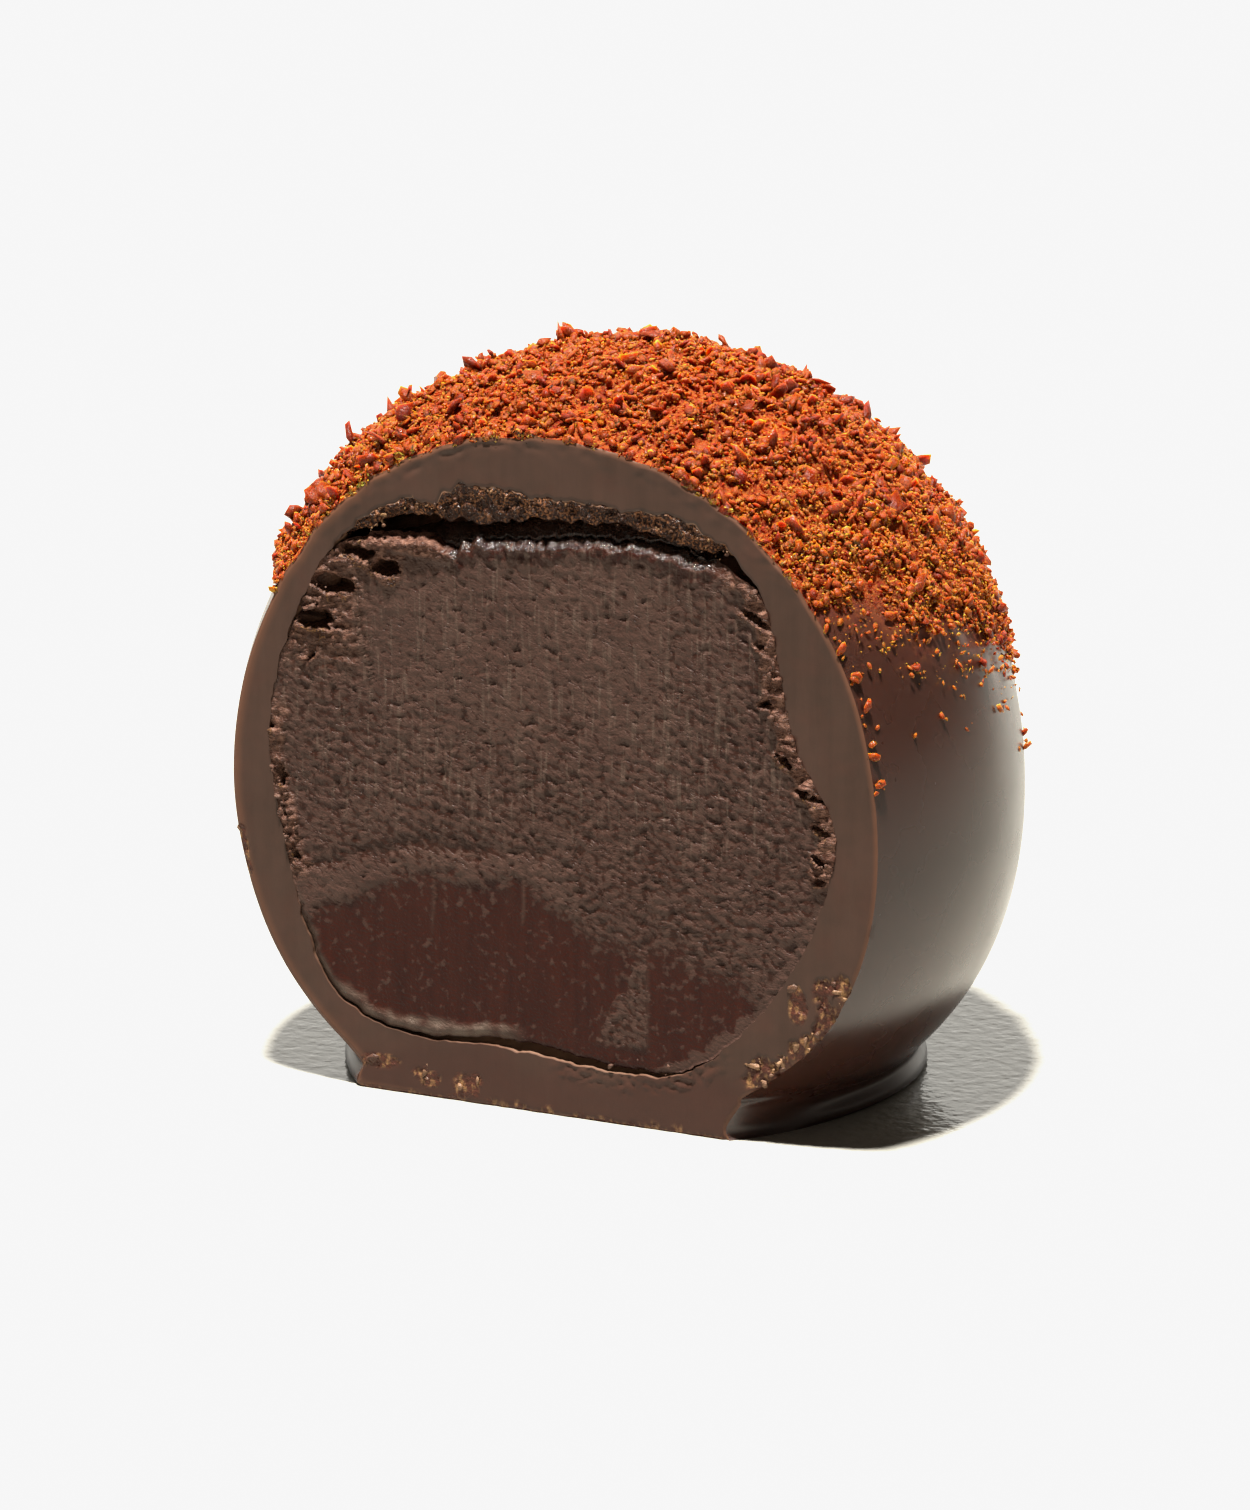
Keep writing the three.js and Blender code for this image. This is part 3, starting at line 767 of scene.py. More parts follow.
class Finish:
    """A material in the making, whose patterns read the place on the piece in millimetres."""

    def __init__(self, name, constants):
        self.material = bpy.data.materials.new(name)
        self.material.use_nodes = True
        self.tree = self.material.node_tree
        self.tree.nodes.clear()
        surface = self.add("ShaderNodeBsdfPrincipled", constants)
        self.shader = surface.node
        self.add("ShaderNodeOutputMaterial", {"Surface": surface})
        place = self.add("ShaderNodeTexCoord", out="Object")
        self.place = self.add("ShaderNodeVectorMath", {0: place, "Scale": 1 / MM}, operation="SCALE")

    def add(self, *given, **settings):
        return add_node(self.tree, *given, **settings)

    def pattern(
        self, size, low=0.35, high=0.65, to_low=0.0, to_high=1.0, detail=3.0, stretch=(1, 1, 1), place=None
    ):
        """Noise with patches of `size` millimetres, spread out to run from to_low to to_high."""
        placed = self.add("ShaderNodeMapping", {"Vector": place or self.place, "Scale": stretch})
        spots = self.add("ShaderNodeTexNoise", {"Vector": placed, "Scale": 1 / size, "Detail": detail})
        spread = {"Value": spots, "From Min": low, "From Max": high, "To Min": to_low, "To Max": to_high}
        return self.add("ShaderNodeMapRange", spread)

    def share(self, *parts):
        """Shares multiplied together: sockets, numbers, and the names of numbers stored on the piece."""
        total = None
        for part in parts:
            if isinstance(part, str):
                part = self.add("ShaderNodeAttribute", out="Fac", attribute_name=part)
            if total is not None:
                part = self.add("ShaderNodeMath", {0: total, 1: part}, operation="MULTIPLY")
            total = part
        return total

    def painted(self, base, *coats):
        """A colour under coats; each coat is a colour and the shares that together say how far it covers."""
        for colour, *parts in ((base,), *coats):
            if isinstance(colour, str):
                colour = linear(colour)
            if not isinstance(colour, bpy.types.NodeSocket):
                colour = (*colour, 1.0)
            if parts:
                coat = {0: self.share(*parts), 6: under, 7: colour}
                colour = self.add("ShaderNodeMix", coat, 2, data_type="RGBA")
            under = colour
        return under

    def complete(self, colour, roughness, *relief):
        """The material with its colour, its roughness and layers of fine relief with their heights."""
        normal = None
        for height, tall in relief:
            inputs = {"Height": height, "Distance": tall * MM, "Strength": 1.0}
            if normal:
                inputs["Normal"] = normal
            normal = self.add("ShaderNodeBump", inputs)
        for name, socket in (("Base Color", colour), ("Roughness", roughness), ("Normal", normal)):
            if socket:
                self.tree.links.new(socket, self.shader.inputs[name])
        return self.material


def light_inside(weight, radius, scale):
    """How far light gets into a material, as shader constants; scale in millimetres."""
    return {"Subsurface Weight": weight, "Subsurface Radius": radius, "Subsurface Scale": scale * MM}


def dusted_chocolate():
    """Chocolate under the topping: rough, without sheen, stained dark orange by chilli dust."""
    made = Finish("chilli_dusted_chocolate", {
        "Roughness": 0.8, "IOR": 1.45, "Specular IOR Level": 0.1, **light_inside(1.0, (1.0, 0.25, 0.1), 0.6)})
    stained = made.painted(DUST_STAIN, (DUST_STAIN_LIGHT, made.pattern(0.22, 0.38, 0.62)))
    brown = made.painted("#2d1913", (stained, "topping"))
    return made.complete(brown, None, (made.pattern(0.14, 0.3, 0.7), 0.06))


def dipped_chocolate(name, settings, duller, level):
    """Tempered dark chocolate that set untouched: smooth, with a soft sheen, stained by the chilli dust."""
    made = Finish(name, {"IOR": 1.47, "Specular IOR Level": level, **light_inside(0.5, (1.0, 0.5, 0.3), 0.6)})
    stained = made.painted(DUST_STAIN, (DUST_STAIN_LIGHT, made.pattern(0.35, 0.4, 0.6)))
    brown = made.painted(
        settings.skin_colour, (settings.skin_cloud_colour, made.pattern(4.0, 0.2, 0.8)), (stained, "topping"))
    even = settings.skin_roughness
    dull = made.pattern(3.0, 0.1, 0.9, even - 0.08, even + 0.08)
    dusty = made.add("ShaderNodeMapRange", {"Value": made.share("topping"), "To Min": duller, "To Max": 0.6})
    return made.complete(brown, made.add("ShaderNodeMath", {0: dull, 1: dusty}, operation="ADD"))


def cut_chocolate(settings):
    """Dark chocolate cut by a knife: waxy and dull, with a painted warm glow at its thin outer rim, golden
    where it broke.
    """
    made = Finish("cut_dark_chocolate", {"IOR": 1.45, "Specular IOR Level": 0.25})
    flaking = made.pattern(0.30, 0.50, 0.68, detail=6.0, stretch=(1.4, 1.0, 0.8))
    brown = made.painted(
        settings.section_colour,
        (settings.section_cloud_colour, made.pattern(2.6)),
        ("#4a342b", made.pattern(0.5, stretch=(1.0, 1.0, 0.12)), 0.25),
        ("#482a21", made.pattern(1.6, 0.50, 0.75, to_high=0.35)),
        ("#39211a", "low", 0.7),
        # Painted glow: the thin outer rim is coloured warmer and lighter for light coming through the
        # chocolate.
        (settings.rim_glow_colour, "rim", 0.75),
        (made.painted("#45251b", (settings.broken_colour, flaking)), "broken"),
        # Painted light: the hollow behind the section's inner edge is coloured lighter to stand in for light
        # that hardly reaches the dark gap.
        ("#80604c", "inside"),
    )
    return made.complete(
        brown, made.pattern(0.6, to_low=0.42, to_high=0.55),
        (made.pattern(0.25, 0.2, 0.8, stretch=(1, 1, 0.1)), 0.006),
        (made.share(made.pattern(0.14, 0.3, 0.7), "broken"), 0.035),
    )


def moist_crumb(name, dark, light, grain, gloss, level, tall):
    """Torn moist filling: porous, with a wet glint on every grain."""
    made = Finish(name, {"IOR": 1.45, "Specular IOR Level": level})
    clustered = made.share(made.pattern(grain, 0.48, 0.62), made.pattern(0.8, 0.36, 0.56, 0.15))
    return made.complete(
        made.painted(dark, (light, clustered)), made.pattern(0.2, to_low=gloss, to_high=gloss + 0.22),
        (made.pattern(0.30, 0.3, 0.7), tall), (made.pattern(grain, 0.3, 0.7), tall),
    )


def soft_ganache(settings):
    """Soft chocolate filling: greyed by fat where the knife dragged it, painted darker in pits as shade, red
    where pressed.
    """
    made = Finish("soft_ganache", {"IOR": 1.42, "Specular IOR Level": 0.2})
    grain = made.add("ShaderNodeAttribute", out="Vector", attribute_name="grain")
    pressed = made.share("pressed")
    dragged_foam = made.pattern(0.20, 0.30, 0.70, detail=4.0, stretch=(0.7, 1, 1), place=grain)
    pressed_foam = made.pattern(0.34, 0.43, 0.71, detail=9.0)
    foam = made.add("ShaderNodeMix", {0: pressed, 2: dragged_foam, 3: pressed_foam})
    # The film covers what stands higher than a level that falls as the film gets thicker.
    filmed = made.add("ShaderNodeMath", {0: foam, 1: made.share("film", 0.75)}, operation="ADD")
    filmed = {"Value": filmed, "From Min": 0.55, "From Max": 1.05}
    filmed = made.add("ShaderNodeMapRange", filmed, interpolation_type="SMOOTHSTEP")
    film = made.painted(settings.torn_colour, (settings.torn_cloud_colour, made.pattern(1.8, 0.25, 0.75)))
    drawn_down = made.pattern(0.45, 0.3, 0.7, stretch=(1, 1, 0.15))
    smeared = made.painted(settings.pressed_colour, ("#301109", drawn_down))
    veil = made.add("ShaderNodeMapRange", {"Value": pressed, "To Min": 1.0, "To Max": 0.75})
    streaks = made.share(made.pattern(0.15, 0.56, 0.74, detail=1.0, stretch=(1, 1, 0.11)), "streaky")
    # Painted highlight: a pale coat on the raised scratch burrs, the ridge and the streaks.
    pale = made.add("ShaderNodeMath", {0: streaks, 1: made.share("raised")}, operation="ADD")
    flaky = made.pattern(0.20, 0.40, 0.60, detail=5.0, stretch=(0.7, 1, 1.4))
    golden = made.painted("#3c241a", ("#7c5834", made.pattern(0.12, 0.52, 0.64)))
    brown = made.painted(
        "#2a150e",
        (smeared, pressed),
        (film, filmed, veil),
        ("#65564c", pale, 0.30),
        (made.painted("#42271d", ("#725143", flaky)), "torn_lip", 0.85),
        (golden, "ledge", made.pattern(0.5, 0.45, 0.55)),
        # Partly painted highlight: the rounded lower left lip catches grazing light, and partly a smeared
        # film.
        ("#5c4f46", "bevel", 0.8),
        # Painted light: deep tears, holes and the hidden back are coloured lighter where little light reaches
        # them.
        ("#6e5242", "inside"),
    )
    return made.complete(
        brown, made.pattern(0.8, to_low=0.38, to_high=0.50),
        (filmed, 0.016),
        (made.share(flaky, "torn_lip"), 0.06),
        (made.pattern(0.11, 0.3, 0.7, stretch=(0.85, 1, 1), place=grain), 0.020),
        (streaks, 0.012),
    )


def dried_chilli(name, first, second):
    """Dried chilli crushed to grains: orange to red flesh that light gets into, each grain its own shade."""
    made = Finish(name, {"IOR": 1.40, "Specular IOR Level": 0.25, **light_inside(1.0, (1.0, 0.4, 0.12), 0.5)})
    shade = made.painted(
        first, (second, "tint"),
        ("#5e1e0c", made.pattern(0.16, 0.4, 0.65), 0.3),
        ("#641a09", made.pattern(1.8, 0.48, 0.68, to_high=0.30)),
    )
    waxy = made.pattern(0.3, to_low=0.10, to_high=0.75)
    return made.complete(shade, waxy, (made.pattern(0.09, 0.3, 0.7), 0.022))


def crumbled_chocolate(name, first, second):
    """Broken chocolate crumbs: golden brown where the fat crystals show, dark in between."""
    made = Finish(name, {"IOR": 1.45, "Specular IOR Level": 0.3})
    shade = made.painted(first, (second, "tint"), ("#3a251a", made.pattern(0.12, 0.4, 0.6, to_high=0.35)))
    dull = made.pattern(0.2, to_low=0.4, to_high=0.6)
    return made.complete(shade, dull, (made.pattern(0.10, 0.3, 0.7), 0.03))


def glossy_board(settings):
    """White acrylic board: bright, glossy, with faint ripples that break up what it mirrors."""
    made = Finish("white_acrylic_board", {"Roughness": settings.board_roughness, "IOR": 1.5})
    white = settings.board_colour
    tone = made.painted(white, (tuple(0.99 * c for c in white), made.pattern(60.0)))
    return made.complete(tone, None, (made.pattern(0.55, 0.2, 0.8, detail=2.0), 0.03))


# ---- Grains and crumbs


GOLDEN = (1 + math.sqrt(5)) / 2  # the golden ratio, for the corners of a regular solid
ICOSAHEDRON = (
    [
        (-1, GOLDEN, 0), (1, GOLDEN, 0), (-1, -GOLDEN, 0), (1, -GOLDEN, 0),
        (0, -1, GOLDEN), (0, 1, GOLDEN), (0, -1, -GOLDEN), (0, 1, -GOLDEN),
        (GOLDEN, 0, -1), (GOLDEN, 0, 1), (-GOLDEN, 0, -1), (-GOLDEN, 0, 1),
    ],
    [
        (0, 11, 5), (0, 5, 1), (0, 1, 7), (0, 7, 10), (0, 10, 11), (1, 5, 9), (5, 11, 4), (11, 10, 2),
        (10, 7, 6), (7, 1, 8), (3, 9, 4), (3, 4, 2), (3, 2, 6), (3, 6, 8), (3, 8, 9), (4, 9, 5),
        (2, 4, 11), (6, 2, 10), (8, 6, 7), (9, 8, 1),
    ],
)
OCTAHEDRON = (
    [(1, 0, 0), (-1, 0, 0), (0, 1, 0), (0, -1, 0), (0, 0, 1), (0, 0, -1)],
    [(0, 2, 4), (2, 1, 4), (1, 3, 4), (3, 0, 4), (2, 0, 5), (1, 2, 5), (3, 1, 5), (0, 3, 5)],
)


def angular_lumps(name, solid, count, jag, seed, thin=0.35, thick=0.7):
    """A hidden collection of rough lumps about 1 mm across: a regular solid with its corners moved."""
    collection = bpy.data.collections.new(name)
    corners, faces = solid
    corners = np.array(corners) / np.linalg.norm(corners[0])
    draw = np.random.default_rng(seed)
    for k in range(count):
        size = draw.uniform(1 - jag, 1 + jag, (len(corners), 1))
        flat = draw.uniform((0.9, 0.55, thin), (1.25, 0.9, thick))
        lump = mesh_object(f"{name}_{k}", 0.5 * corners * size * flat, faces)
        bpy.context.scene.collection.objects.unlink(lump)
        collection.objects.link(lump)
    return collection


def forget(bed, *collections):
    """Removes the helpers of a scatter."""
    bpy.data.objects.remove(bed)
    for collection in collections:
        for shape in list(collection.objects):
            bpy.data.objects.remove(shape)
        bpy.data.collections.remove(collection)


def scatter_tree():
    """Node group that strews grains over a surface, by its stored cover, and turns them into plain mesh."""
    tree = bpy.data.node_groups.new("strewn_grains", "GeometryNodeTree")
    for name, kind in (
        ("Geometry", "Geometry"), ("Grain shapes", "Collection"), ("Cover", "String"),
        ("Grains per square metre", "Float"), ("Smallest", "Float"), ("Largest", "Float"),
        ("Lowest", "Float"), ("Highest", "Float"), ("Tilt", "Float"),
        ("Seed", "Int"), ("Material", "Material"),
    ):
        tree.interface.new_socket(name, in_out="INPUT", socket_type=f"NodeSocket{kind}")
    tree.interface.new_socket("Geometry", in_out="OUTPUT", socket_type="NodeSocketGeometry")

    def add(*given, **settings):
        return add_node(tree, *given, **settings)

    given = add("NodeGroupInput").node.outputs

    def drawn(low, high, purpose, kind="FLOAT"):
        """A random value for each grain."""
        seed = add("ShaderNodeMath", {0: given["Seed"], 1: float(purpose)}, operation="ADD")
        first, second, out = {"FLOAT": (2, 3, 1), "FLOAT_VECTOR": (0, 1, 0), "INT": (4, 5, 2)}[kind]
        return add("FunctionNodeRandomValue", {first: low, second: high, "Seed": seed}, out, data_type=kind)

    cover = add("GeometryNodeInputNamedAttribute", {"Name": given["Cover"]}, data_type="FLOAT")
    density = add("ShaderNodeMath", {0: cover, 1: given["Grains per square metre"]}, operation="MULTIPLY")
    spread = {"Mesh": given["Geometry"], "Density": density, "Seed": given["Seed"]}
    strewn = add("GeometryNodeDistributePointsOnFaces", spread, distribute_method="RANDOM").node.outputs
    height = drawn(given["Lowest"], given["Highest"], 1)
    lift = add("ShaderNodeVectorMath", {0: strewn["Normal"], "Scale": height}, operation="SCALE")
    raised = add("GeometryNodeSetPosition", {"Geometry": strewn["Points"], "Offset": lift})
    shapes = {"Collection": given["Grain shapes"], "Separate Children": True, "Reset Children": True}
    spin = drawn((-1.0, -1.0, -math.pi), (1.0, 1.0, math.pi), 2, "FLOAT_VECTOR")
    tilt = add("ShaderNodeCombineXYZ", {0: given["Tilt"], 1: given["Tilt"], 2: 1.0})
    spin = add("ShaderNodeVectorMath", {0: spin, 1: tilt}, operation="MULTIPLY")
    turn = {"Rotation": strewn["Rotation"], "Rotate By": spin}
    # Small grains are far more common than large ones.
    share = add("ShaderNodeMath", {0: drawn(0.0, 1.0, 3), 1: 2.2}, operation="POWER")
    sizes = {"Value": share, "To Min": given["Smallest"], "To Max": given["Largest"]}
    size = add("ShaderNodeMapRange", sizes)
    across = drawn((0.75, 0.75, 0.75), (1.25, 1.25, 1.25), 4, "FLOAT_VECTOR")
    across = add("ShaderNodeVectorMath", {0: across, "Scale": size}, operation="SCALE")
    grains = add("GeometryNodeInstanceOnPoints", {
        "Points": raised,
        "Instance": add("GeometryNodeCollectionInfo", shapes),
        "Pick Instance": True,
        "Instance Index": drawn(0, 99, 5, "INT"),
        "Rotation": add("FunctionNodeRotateRotation", turn, rotation_space="LOCAL"),
        "Scale": add("ShaderNodeVectorMath", {0: across, "Scale": 1 / MM}, operation="SCALE"),
    })
    tint = {"Geometry": grains, "Name": "tint", "Value": drawn(0.0, 1.0, 6)}
    tinted = add("GeometryNodeStoreNamedAttribute", tint, data_type="FLOAT", domain="INSTANCE")
    real = add("GeometryNodeRealizeInstances", {"Geometry": tinted})
    coloured = add("GeometryNodeSetMaterial", {"Geometry": real, "Material": given["Material"]})
    add("NodeGroupOutput", {"Geometry": coloured})
    return tree


def strew(name, bed, settings, kind, material, slot, trimmed=False):
    """Strews one kind of grain over a bed and hands it over as one plain mesh; heights are in millimetres."""
    number, cover, shapes, share, size, lowest, highest, tilt = kind
    values = {
        "Grain shapes": shapes, "Cover": cover, "Grains per square metre": share * settings.packed / MM**2,
        "Smallest": size * settings.smallest, "Largest": size * settings.largest, "Lowest": lowest * MM,
        "Highest": highest * MM, "Tilt": tilt, "Seed": settings.seed + number, "Material": material,
    }
    tree = bpy.data.node_groups.get("strewn_grains") or scatter_tree()
    grains = bpy.data.objects.new(name, bed.data.copy())
    bpy.context.scene.collection.objects.link(grains)
    modifier = grains.modifiers.new("strewn", "NODES")
    modifier.node_group = tree
    for item in tree.interface.items_tree:
        if item.in_out == "INPUT" and item.name in values:
            modifier[item.identifier] = values[item.name]
    evaluated(grains)
    at = points_of(grains)
    if trimmed:
        # The knife cut the grains that lay across its plane.
        at[:, 1] = np.maximum(at[:, 1], CUT_Y)
    at[:, 2] = np.maximum(at[:, 2], 0.01)
    grains.data.vertices.foreach_set("co", (at * MM).astype(np.float32).reshape(-1))
    if material.name not in [m.name for m in grains.data.materials if m]:
        grains.data.materials.append(material)
    hand_over(grains, slot)


# ---- Settings


def colour(name, hex_colour, description):
    return FloatVectorProperty(
        name=name, description=description, subtype="COLOR", size=3, default=linear(hex_colour), min=0, max=1)


def amount(name, default, description, least=0.0, **more):
    return FloatProperty(name=name, description=description, default=default, min=least, **more)


def roughness(name, default):
    return amount(name, default, "0 is a mirror, 1 is chalk", subtype="FACTOR", max=1)


def width(name, millimetres, least):
    return amount(name, millimetres * MM, "Its size across", least * MM, unit="LENGTH")


def seed(default):
    return IntProperty(name="Seed", description="Another number strews them another way", default=default)


class ShellSettings(bpy.types.PropertyGroup):
    """Colours and gloss of the shell."""

    section_colour: colour("Section", "#38271f", "Dark chocolate where the knife cut it")
    section_cloud_colour: colour("Section clouds", "#3f2c24", "Lighter clouds in the section")
    rim_glow_colour: colour("Rim", "#5c3c2c", "Thin outer rim of the section, where light comes through")
    broken_colour: colour("Broken", "#8c6844", "Freshly broken chocolate")
    skin_colour: colour("Skin", "#2d1913", "Outer skin of the shell")
    skin_cloud_colour: colour("Skin clouds", "#331d17", "Faint clouds in the skin")
    skin_roughness: roughness("Skin roughness", 0.27)


class GanacheSettings(bpy.types.PropertyGroup):
    """Colours of the filling."""

    torn_colour: colour("Rough part", "#3e2b25", "Filling that the knife dragged")
    torn_cloud_colour: colour("Rough part's clouds", "#46332c", "Lighter clouds in it")
    pressed_colour: colour("Pressed part", "#260b06", "Filling that the knife pressed smooth")


class ChilliSettings(bpy.types.PropertyGroup):
    """Size, number and colours of the chilli grains."""

    smallest: width("Smallest grain", 0.13, 0.05)
    largest: width("Largest grain", 0.52, 0.1)
    packed: amount("Grains per square millimetre", 9.5, "What each kind's share is taken of", 0.5, max=20)
    red: colour("Red grains", "#5b1807", "Skin of the pods")
    orange: colour("Orange grains", "#7c350c", "Flesh of the pods")
    gold: colour("Golden grains", "#885216", "Seeds and pale flesh")
    seed: seed(4)


class CrumbSettings(bpy.types.PropertyGroup):
    """Size, number and colour of the chocolate crumbs."""

    smallest: width("Smallest crumb", 0.10, 0.05)
    largest: width("Largest crumb", 0.55, 0.1)
    colour: colour("Crumbs", "#9a7658", "Broken chocolate")
    packed: amount("Crumbs per square millimetre", 22.0, "Where they lie thickest", 0.5, max=60)
    seed: seed(2)


class StageSettings(bpy.types.PropertyGroup):
    """Board, lights and camera."""

    board_colour: colour("Board", "#a09e96", "The pale board under the truffle")
    board_roughness: roughness("Board roughness", 0.12)
    key_strength: amount("Key light", 15.9, "Strength of the high key light")
    key_angle: amount("Key light's width", math.radians(5.0), "Seen from the truffle", subtype="ANGLE")
    backdrop: amount("Backdrop", 1.62, "Brightness of the wall behind")
    room: amount("Room", 0.085, "Brightness of the rest of the room")
    lens: amount("Lens", 163.87, "Focal length on a 36 mm high picture", 1, unit="CAMERA")


# ---- Operators

SKIN_AROUND, SKIN_DOWN = 300, 120
SECTION_AROUND = 900
SHARP = math.radians(50)  # edges more bent than this aren't smoothed
BED_AROUND, BED_DOWN = 640, 100
BED_LOWEST_Z = 8  # no chilli lies below this
CRUMB_BED_AROUND = 720


class TRUFFLE_OT_shell(bpy.types.Operator):
    """Build the chocolate shell: its skin, the knife's section and the crumbled groove"""

    bl_idname = "truffle.shell"
    bl_label = "Shell"

    def execute(self, context):
        settings = context.scene.truffle_shell
        rings = skin_rings(SKIN_AROUND, SKIN_DOWN)
        crown = ball_point(np.zeros(1), np.zeros(1), topping_bed(ball_point(np.zeros(1), np.zeros(1))))[0]
        skin = dipped_chocolate("dipped_dark_chocolate", settings, 0.0, 0.5)
        foot = dipped_chocolate("dark_chocolate_run_out_on_the_board", settings, 0.10, 0.60)
        cut = cut_chocolate(settings)
        hanging = moist_crumb(
            "torn_filling_under_the_roof", "#2a1711", "#8a5c3e", 0.11, 0.10, 0.25, 0.075)
        finishes = [skin, cut, hanging, dusted_chocolate(), foot]
        shell = mesh_object("shell_body", *closed_loft(crown, rings, (0, FOOT_Y, 0)), finishes)

        angle = np.linspace(0, 2 * math.pi, SECTION_AROUND, endpoint=False)
        rim = rim_radius(rings, angle)
        points, faces = closed_loft(
            (FACE_X, CUT_Y - IN_FRONT, FACE_Z), hollow_rings(angle, rim),
            (FACE_X, FULL_DEPTH_RADIUS + CLEARANCE, FACE_Z))
        knife = mesh_object("knife_and_hollow", points, faces, [cut])
        boolean = shell.modifiers.new("cut", "BOOLEAN")
        boolean.operation = "DIFFERENCE"
        boolean.solver = "MANIFOLD"
        boolean.object = knife
        evaluated(shell)
        bpy.data.objects.remove(knife)

        at = points_of(shell)
        x, y, z = at.T
        turn = np.arctan2(z - FACE_Z, x - FACE_X)
        reach = np.hypot(x - FACE_X, z - FACE_Z)
        depth = y - CUT_Y
        to_rim = rim_radius(rings, turn) - reach
        to_edge = reach - shell_edge(turn)
        on_cut = smooth(0.9 - depth, 0, 0.3)
        topping = topping_cover(at) ** 3 * np.maximum(smooth(to_rim, 0.6, -0.2), smooth(depth, 0.5, 0.9))
        # The hollow behind the section's inner edge; the material paints it lighter, as painted light in the
        # dark gap.
        inside = np.maximum(smooth(depth, 0.10, 0.35), smooth(-to_edge, 0.0, 0.05)) * (to_rim > 0.8)
        store(shell.data, {
            "topping": topping,
            # The section's thin outer rim, where the material paints a warm glow of light coming through.
            "rim": smooth(1 - to_rim / (0.16 + 0.30 * smooth(-x, 2, 8)), 0, 0.9) * on_cut,
            "low": smooth(2.8 + 0.8 * noise(at, 2.0, 140) - z, 0, 1.6) * on_cut,
            "broken": breakage(x, z)[0] * on_cut,
            "inside": inside,
        })
        torn = inside * roof_share(turn) * (depth < 1.1)
        for face in shell.data.polygons:
            if face.material_index == 1 and np.mean(torn[list(face.vertices)]) > 0.5:
                face.material_index = 2
            if face.material_index == 0 and np.mean(topping[list(face.vertices)]) > 0.3:
                face.material_index = 3
            if face.material_index == 0 and face.center.z < FOOT_TOP_Z * MM:
                face.material_index = 4
        shell.data.set_sharp_from_angle(angle=SHARP)
        hand_over(shell, "chocolate_shell", "shell")
        return {"FINISHED"}


class TRUFFLE_OT_ganache(bpy.types.Operator):
    """Build the filling: its wrinkled face, torn edges and hidden round back"""

    bl_idname = "truffle.ganache"
    bl_label = "Filling"

    def execute(self, context):
        share, angle, squares, edge = face_grid(FACE_HALF)
        radius = filling_edge(angle)
        x = FACE_X + share * radius * np.cos(angle)
        z = FACE_Z + share * radius * np.sin(angle)
        relief, numbers = face_relief(x, z, (1 - share) * radius, angle)
        face = stacked(x, CUT_Y + np.maximum(relief, -MOST_PROUD), z)

        turn = angle[edge]
        rims = []
        front = face[edge, 1]
        near = around(FILLING_EDGE, turn)
        for k in range(1, FILLING_DEPTHS + 1):
            ease = (k / FILLING_DEPTHS) ** 2.4
            y = front + (LAST_RING_Y - front) * ease
            depth = y - CUT_Y
            # Behind its torn edge the filling keeps clear of the shell.
            behind = near * spread_at(y)
            reach = behind + (radius[edge] - behind) * (1 - smooth(depth, 0.15, 1.0))
            place = face_point(turn, reach, y)
            torn = np.abs(rough(place, 0.6, 85))
            reach = reach - 0.08 * torn * smooth(depth, 0.2, 0.8) * np.exp(-depth / 3.0)
            rims.append(stacked(FACE_X + reach * np.cos(turn), y, FACE_Z + reach * np.sin(turn)))
        size = len(edge)
        start = len(face)
        points = np.concatenate([face, *rims, [(FACE_X, FULL_DEPTH_RADIUS, FACE_Z)]])
        faces = squares.tolist()
        after = np.roll(np.arange(size), -1)
        faces += np.stack([edge, edge[after], start + after, start + np.arange(size)], axis=-1).tolist()
        faces += [tuple(reversed(f)) for f in ring_faces(FILLING_DEPTHS, size, start)]
        last = start + (FILLING_DEPTHS - 1) * size
        faces += stacked(last + np.arange(size), last + after, np.full(size, len(points) - 1)).tolist()

        hidden = len(points) - len(face)
        behind_cut = points[start:, 1] - CUT_Y
        for key, values in numbers.items():
            numbers[key] = np.concatenate([values, np.zeros((hidden, *values.shape[1:]))])
        numbers["grain"][start:] = points[start:]
        wet = numbers["wet"]
        wet[start:] = np.append(np.tile(roof_share(turn), FILLING_DEPTHS), 0) * smooth(2.0 - behind_cut, 0, 1)
        # Deep places of the face and the hidden back; the material paints them lighter, as painted light.
        numbers["inside"] = np.append(smooth(relief, 0.45, 0.9), smooth(behind_cut, 0.3, 0.9)) * (1 - wet)
        finishes = [
            soft_ganache(context.scene.truffle_ganache),
            moist_crumb("moist_filling_edge", "#20110c", "#422a20", 0.08, 0.05, 0.65, 0.035),
        ]
        ganache = mesh_object("ganache_body", points, faces, finishes, numbers)
        for face in ganache.data.polygons:
            if np.mean(wet[list(face.vertices)]) > 0.5:
                face.material_index = 1
        hand_over(ganache, "ganache", "ganache")
        return {"FINISHED"}


